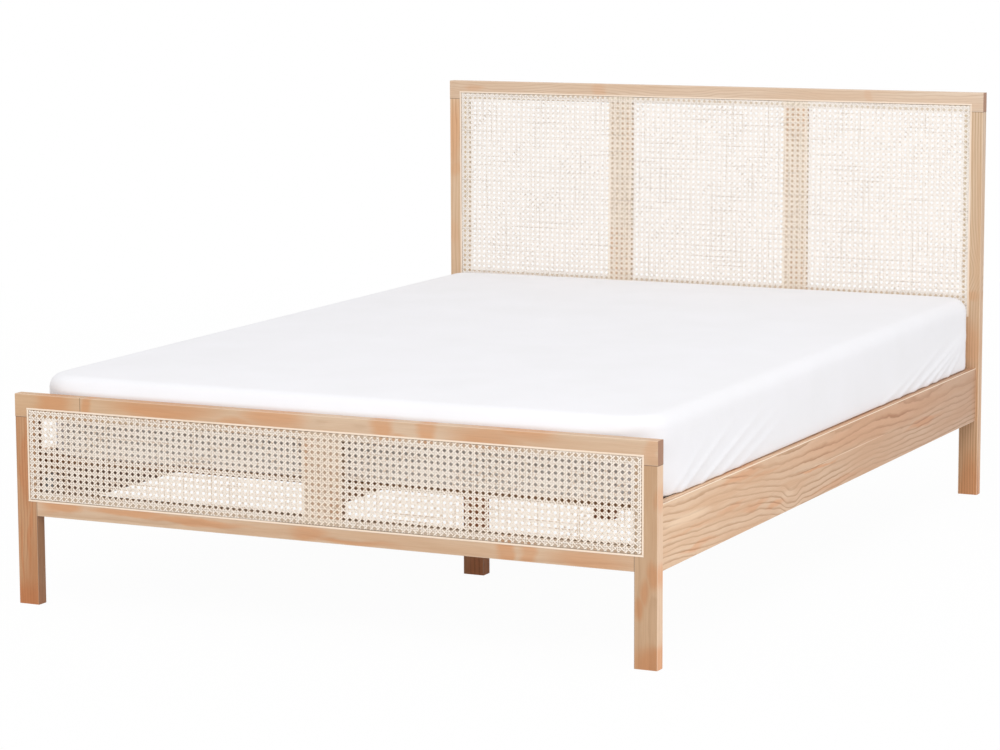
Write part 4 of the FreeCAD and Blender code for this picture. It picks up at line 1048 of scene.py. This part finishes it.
def cotton():
    material = newMaterial("sheetCotton")
    place = placeOn(material)
    soft = noiseAt(material, place, 7.0, 3.0)["Fac"]
    tone = ramp(material, soft, [(0.3, sheetLook["dark"]), (0.7, sheetLook["light"])])
    spot = parts(material, place)
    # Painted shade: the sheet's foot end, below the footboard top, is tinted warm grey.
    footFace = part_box("fitted_sheet")[0].y
    foot = between(material, spot[1], *(footFace + depth for depth in sheetLook["footDepth"]))
    under = between(material, spot[2], *sheetLook["footTop"])
    covered = calculate(material, "MULTIPLY", foot, under)
    tone = blendColours(material, "MIX", covered, tone, sheetLook["foot"])
    threads = noiseAt(material, place, sheetLook["thread"], 1.0)["Fac"]
    crumple = noiseAt(material, place, sheetLook["crumple"], 4.0, 0.45, 0.4)["Fac"]
    both = calculate(material, "ADD", crumple, calculate(material, "MULTIPLY", threads, 0.02))
    coat(material, tone, sheetLook["values"], both, *sheetLook["bump"])
    return material


tickingLook = {
    "light": (0.84, 0.83, 0.80),
    "dark": (0.74, 0.73, 0.70),
    "knit": 38.0,
    "values": {"Roughness": 0.9},
    "bump": (0.5, 0.003),
}


def ticking():
    material = newMaterial("mattressKnit")
    knit = addNode(material, "TexVoronoi", {"Vector": placeOn(material), "Scale": tickingLook["knit"]})
    loops = knit.outputs["Distance"]
    tone = ramp(material, loops, [(0.0, tickingLook["light"]), (0.8, tickingLook["dark"])])
    coat(material, tone, tickingLook["values"], loops, *tickingLook["bump"])
    return material


def layMattress():
    core = softShell("mattressCore", "mattress", 0, softShape["coreLift"])
    core.data.materials.append(ticking())
    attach(core, "mattress")
    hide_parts("mattress")
    cloth = softShell("fittedSheet", "fitted_sheet", softShape["hem"], 0)
    foldSheet(cloth)
    pick(cloth)
    bpy.ops.object.modifier_add(type="SOLIDIFY")
    wall = cloth.modifiers[-1]
    wall.thickness = softShape["sheetThickness"]
    wall.offset = -1
    bpy.ops.object.modifier_apply(modifier=wall.name)
    cloth.data.materials.append(cotton())
    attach(cloth, "mattress")
    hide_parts("fitted_sheet")
    print("stage: mattress and sheet laid")


# Stage: floor, world, lamps and camera

stageLook = {
    "floorSize": 60.0,
    "floor": {"Base Color": (0.92, 0.92, 0.92, 1), "Roughness": 1.0, "Specular IOR Level": 0.0},
    "floorWhite": 0.97,
    "whiteReach": (2.2, 5.5),
    "worldStrength": 0.72,
    "lamps": (  # place, power and size
        ("keyLamp", (3.8, -7.8, 9.6), 590.0, 7.5),
        ("fillLamp", (7.0, -3.2, 2.6), 46.0, 3.0),
    ),
}


def lamp(name, place, power, size):
    bpy.ops.object.light_add(type="AREA", location=place)
    light = bpy.context.object
    light.name = name
    light.data.energy = power
    light.data.size = size
    light.rotation_euler = (Vector((0, 0, 0.4)) - Vector(place)).to_track_quat("-Z", "Y").to_euler()


def seenShare(owner):
    rays = addNode(owner, "LightPath").outputs
    mirrored = calculate(owner, "MAXIMUM", rays["Is Glossy Ray"], rays["Is Transmission Ray"])
    return calculate(owner, "MAXIMUM", rays["Is Camera Ray"], mirrored)


def buildStage():
    bpy.ops.object.select_all(action="DESELECT")
    bpy.ops.mesh.primitive_plane_add(size=stageLook["floorSize"])
    floor = bpy.context.object
    floor.name = "studioFloor"
    material = newMaterial("studioWhite")
    matt = surface(material)
    for key, value in stageLook["floor"].items():
        matt.inputs[key].default_value = value
    glow = addNode(material, "Emission", {"Color": (1, 1, 1, 1), "Strength": 1.0})
    away = vectors(material, "LENGTH", placeOn(material))["Value"]
    white = between(material, away, *stageLook["whiteReach"], stageLook["floorWhite"])
    share = calculate(material, "MULTIPLY", seenShare(material), white)
    mixed = addNode(material, "MixShader", {0: share, 1: matt.outputs[0], 2: glow.outputs[0]})
    output = material.node_tree.nodes["Material Output"]
    plug(material, output.inputs["Surface"], mixed.outputs[0])
    floor.data.materials.append(material)

    world = bpy.context.scene.world or bpy.data.worlds.new("studioWorld")
    bpy.context.scene.world = world
    world.use_nodes = True
    world.node_tree.nodes.clear()
    light = addNode(world, "Background", {"Color": (1, 1, 1, 1), "Strength": stageLook["worldStrength"]})
    white = addNode(world, "Background", {"Color": (1, 1, 1, 1), "Strength": 1.0})
    mixed = addNode(world, "MixShader", {0: seenShare(world), 1: light.outputs[0], 2: white.outputs[0]})
    addNode(world, "OutputWorld", {"Surface": mixed.outputs[0]})

    for values in stageLook["lamps"]:
        lamp(*values)
    print("stage: floor, world and lamps")


photoCamera = {
    "place": (3.0653, -6.5345, 1.4549),
    "yaw": 25.2357,
    "pitch": 7.9585,
    "roll": -0.1352,
    "lens": 114.58,
    "shift": (-0.0337, -0.0227),
    "sensor": 36,
}


def addCamera():
    bpy.ops.object.camera_add(location=photoCamera["place"])
    camera = bpy.context.object
    camera.name = "photoCamera"
    turn = Matrix.Rotation(math.radians(photoCamera["yaw"]), 4, "Z")
    turn = turn @ Matrix.Rotation(math.radians(90 - photoCamera["pitch"]), 4, "X")
    turn = turn @ Matrix.Rotation(math.radians(photoCamera["roll"]), 4, "Z")
    camera.rotation_euler = turn.to_euler()
    camera.data.lens = photoCamera["lens"]
    camera.data.sensor_width = photoCamera["sensor"]
    camera.data.shift_x, camera.data.shift_y = photoCamera["shift"]
    camera.data.clip_end = 100
    bpy.context.scene.camera = camera
    print("stage: camera set")


dressFrame()
dressFittings()
weaveCane()
layMattress()
buildStage()
addCamera()
bpy.context.scene.view_settings.view_transform = "Standard"
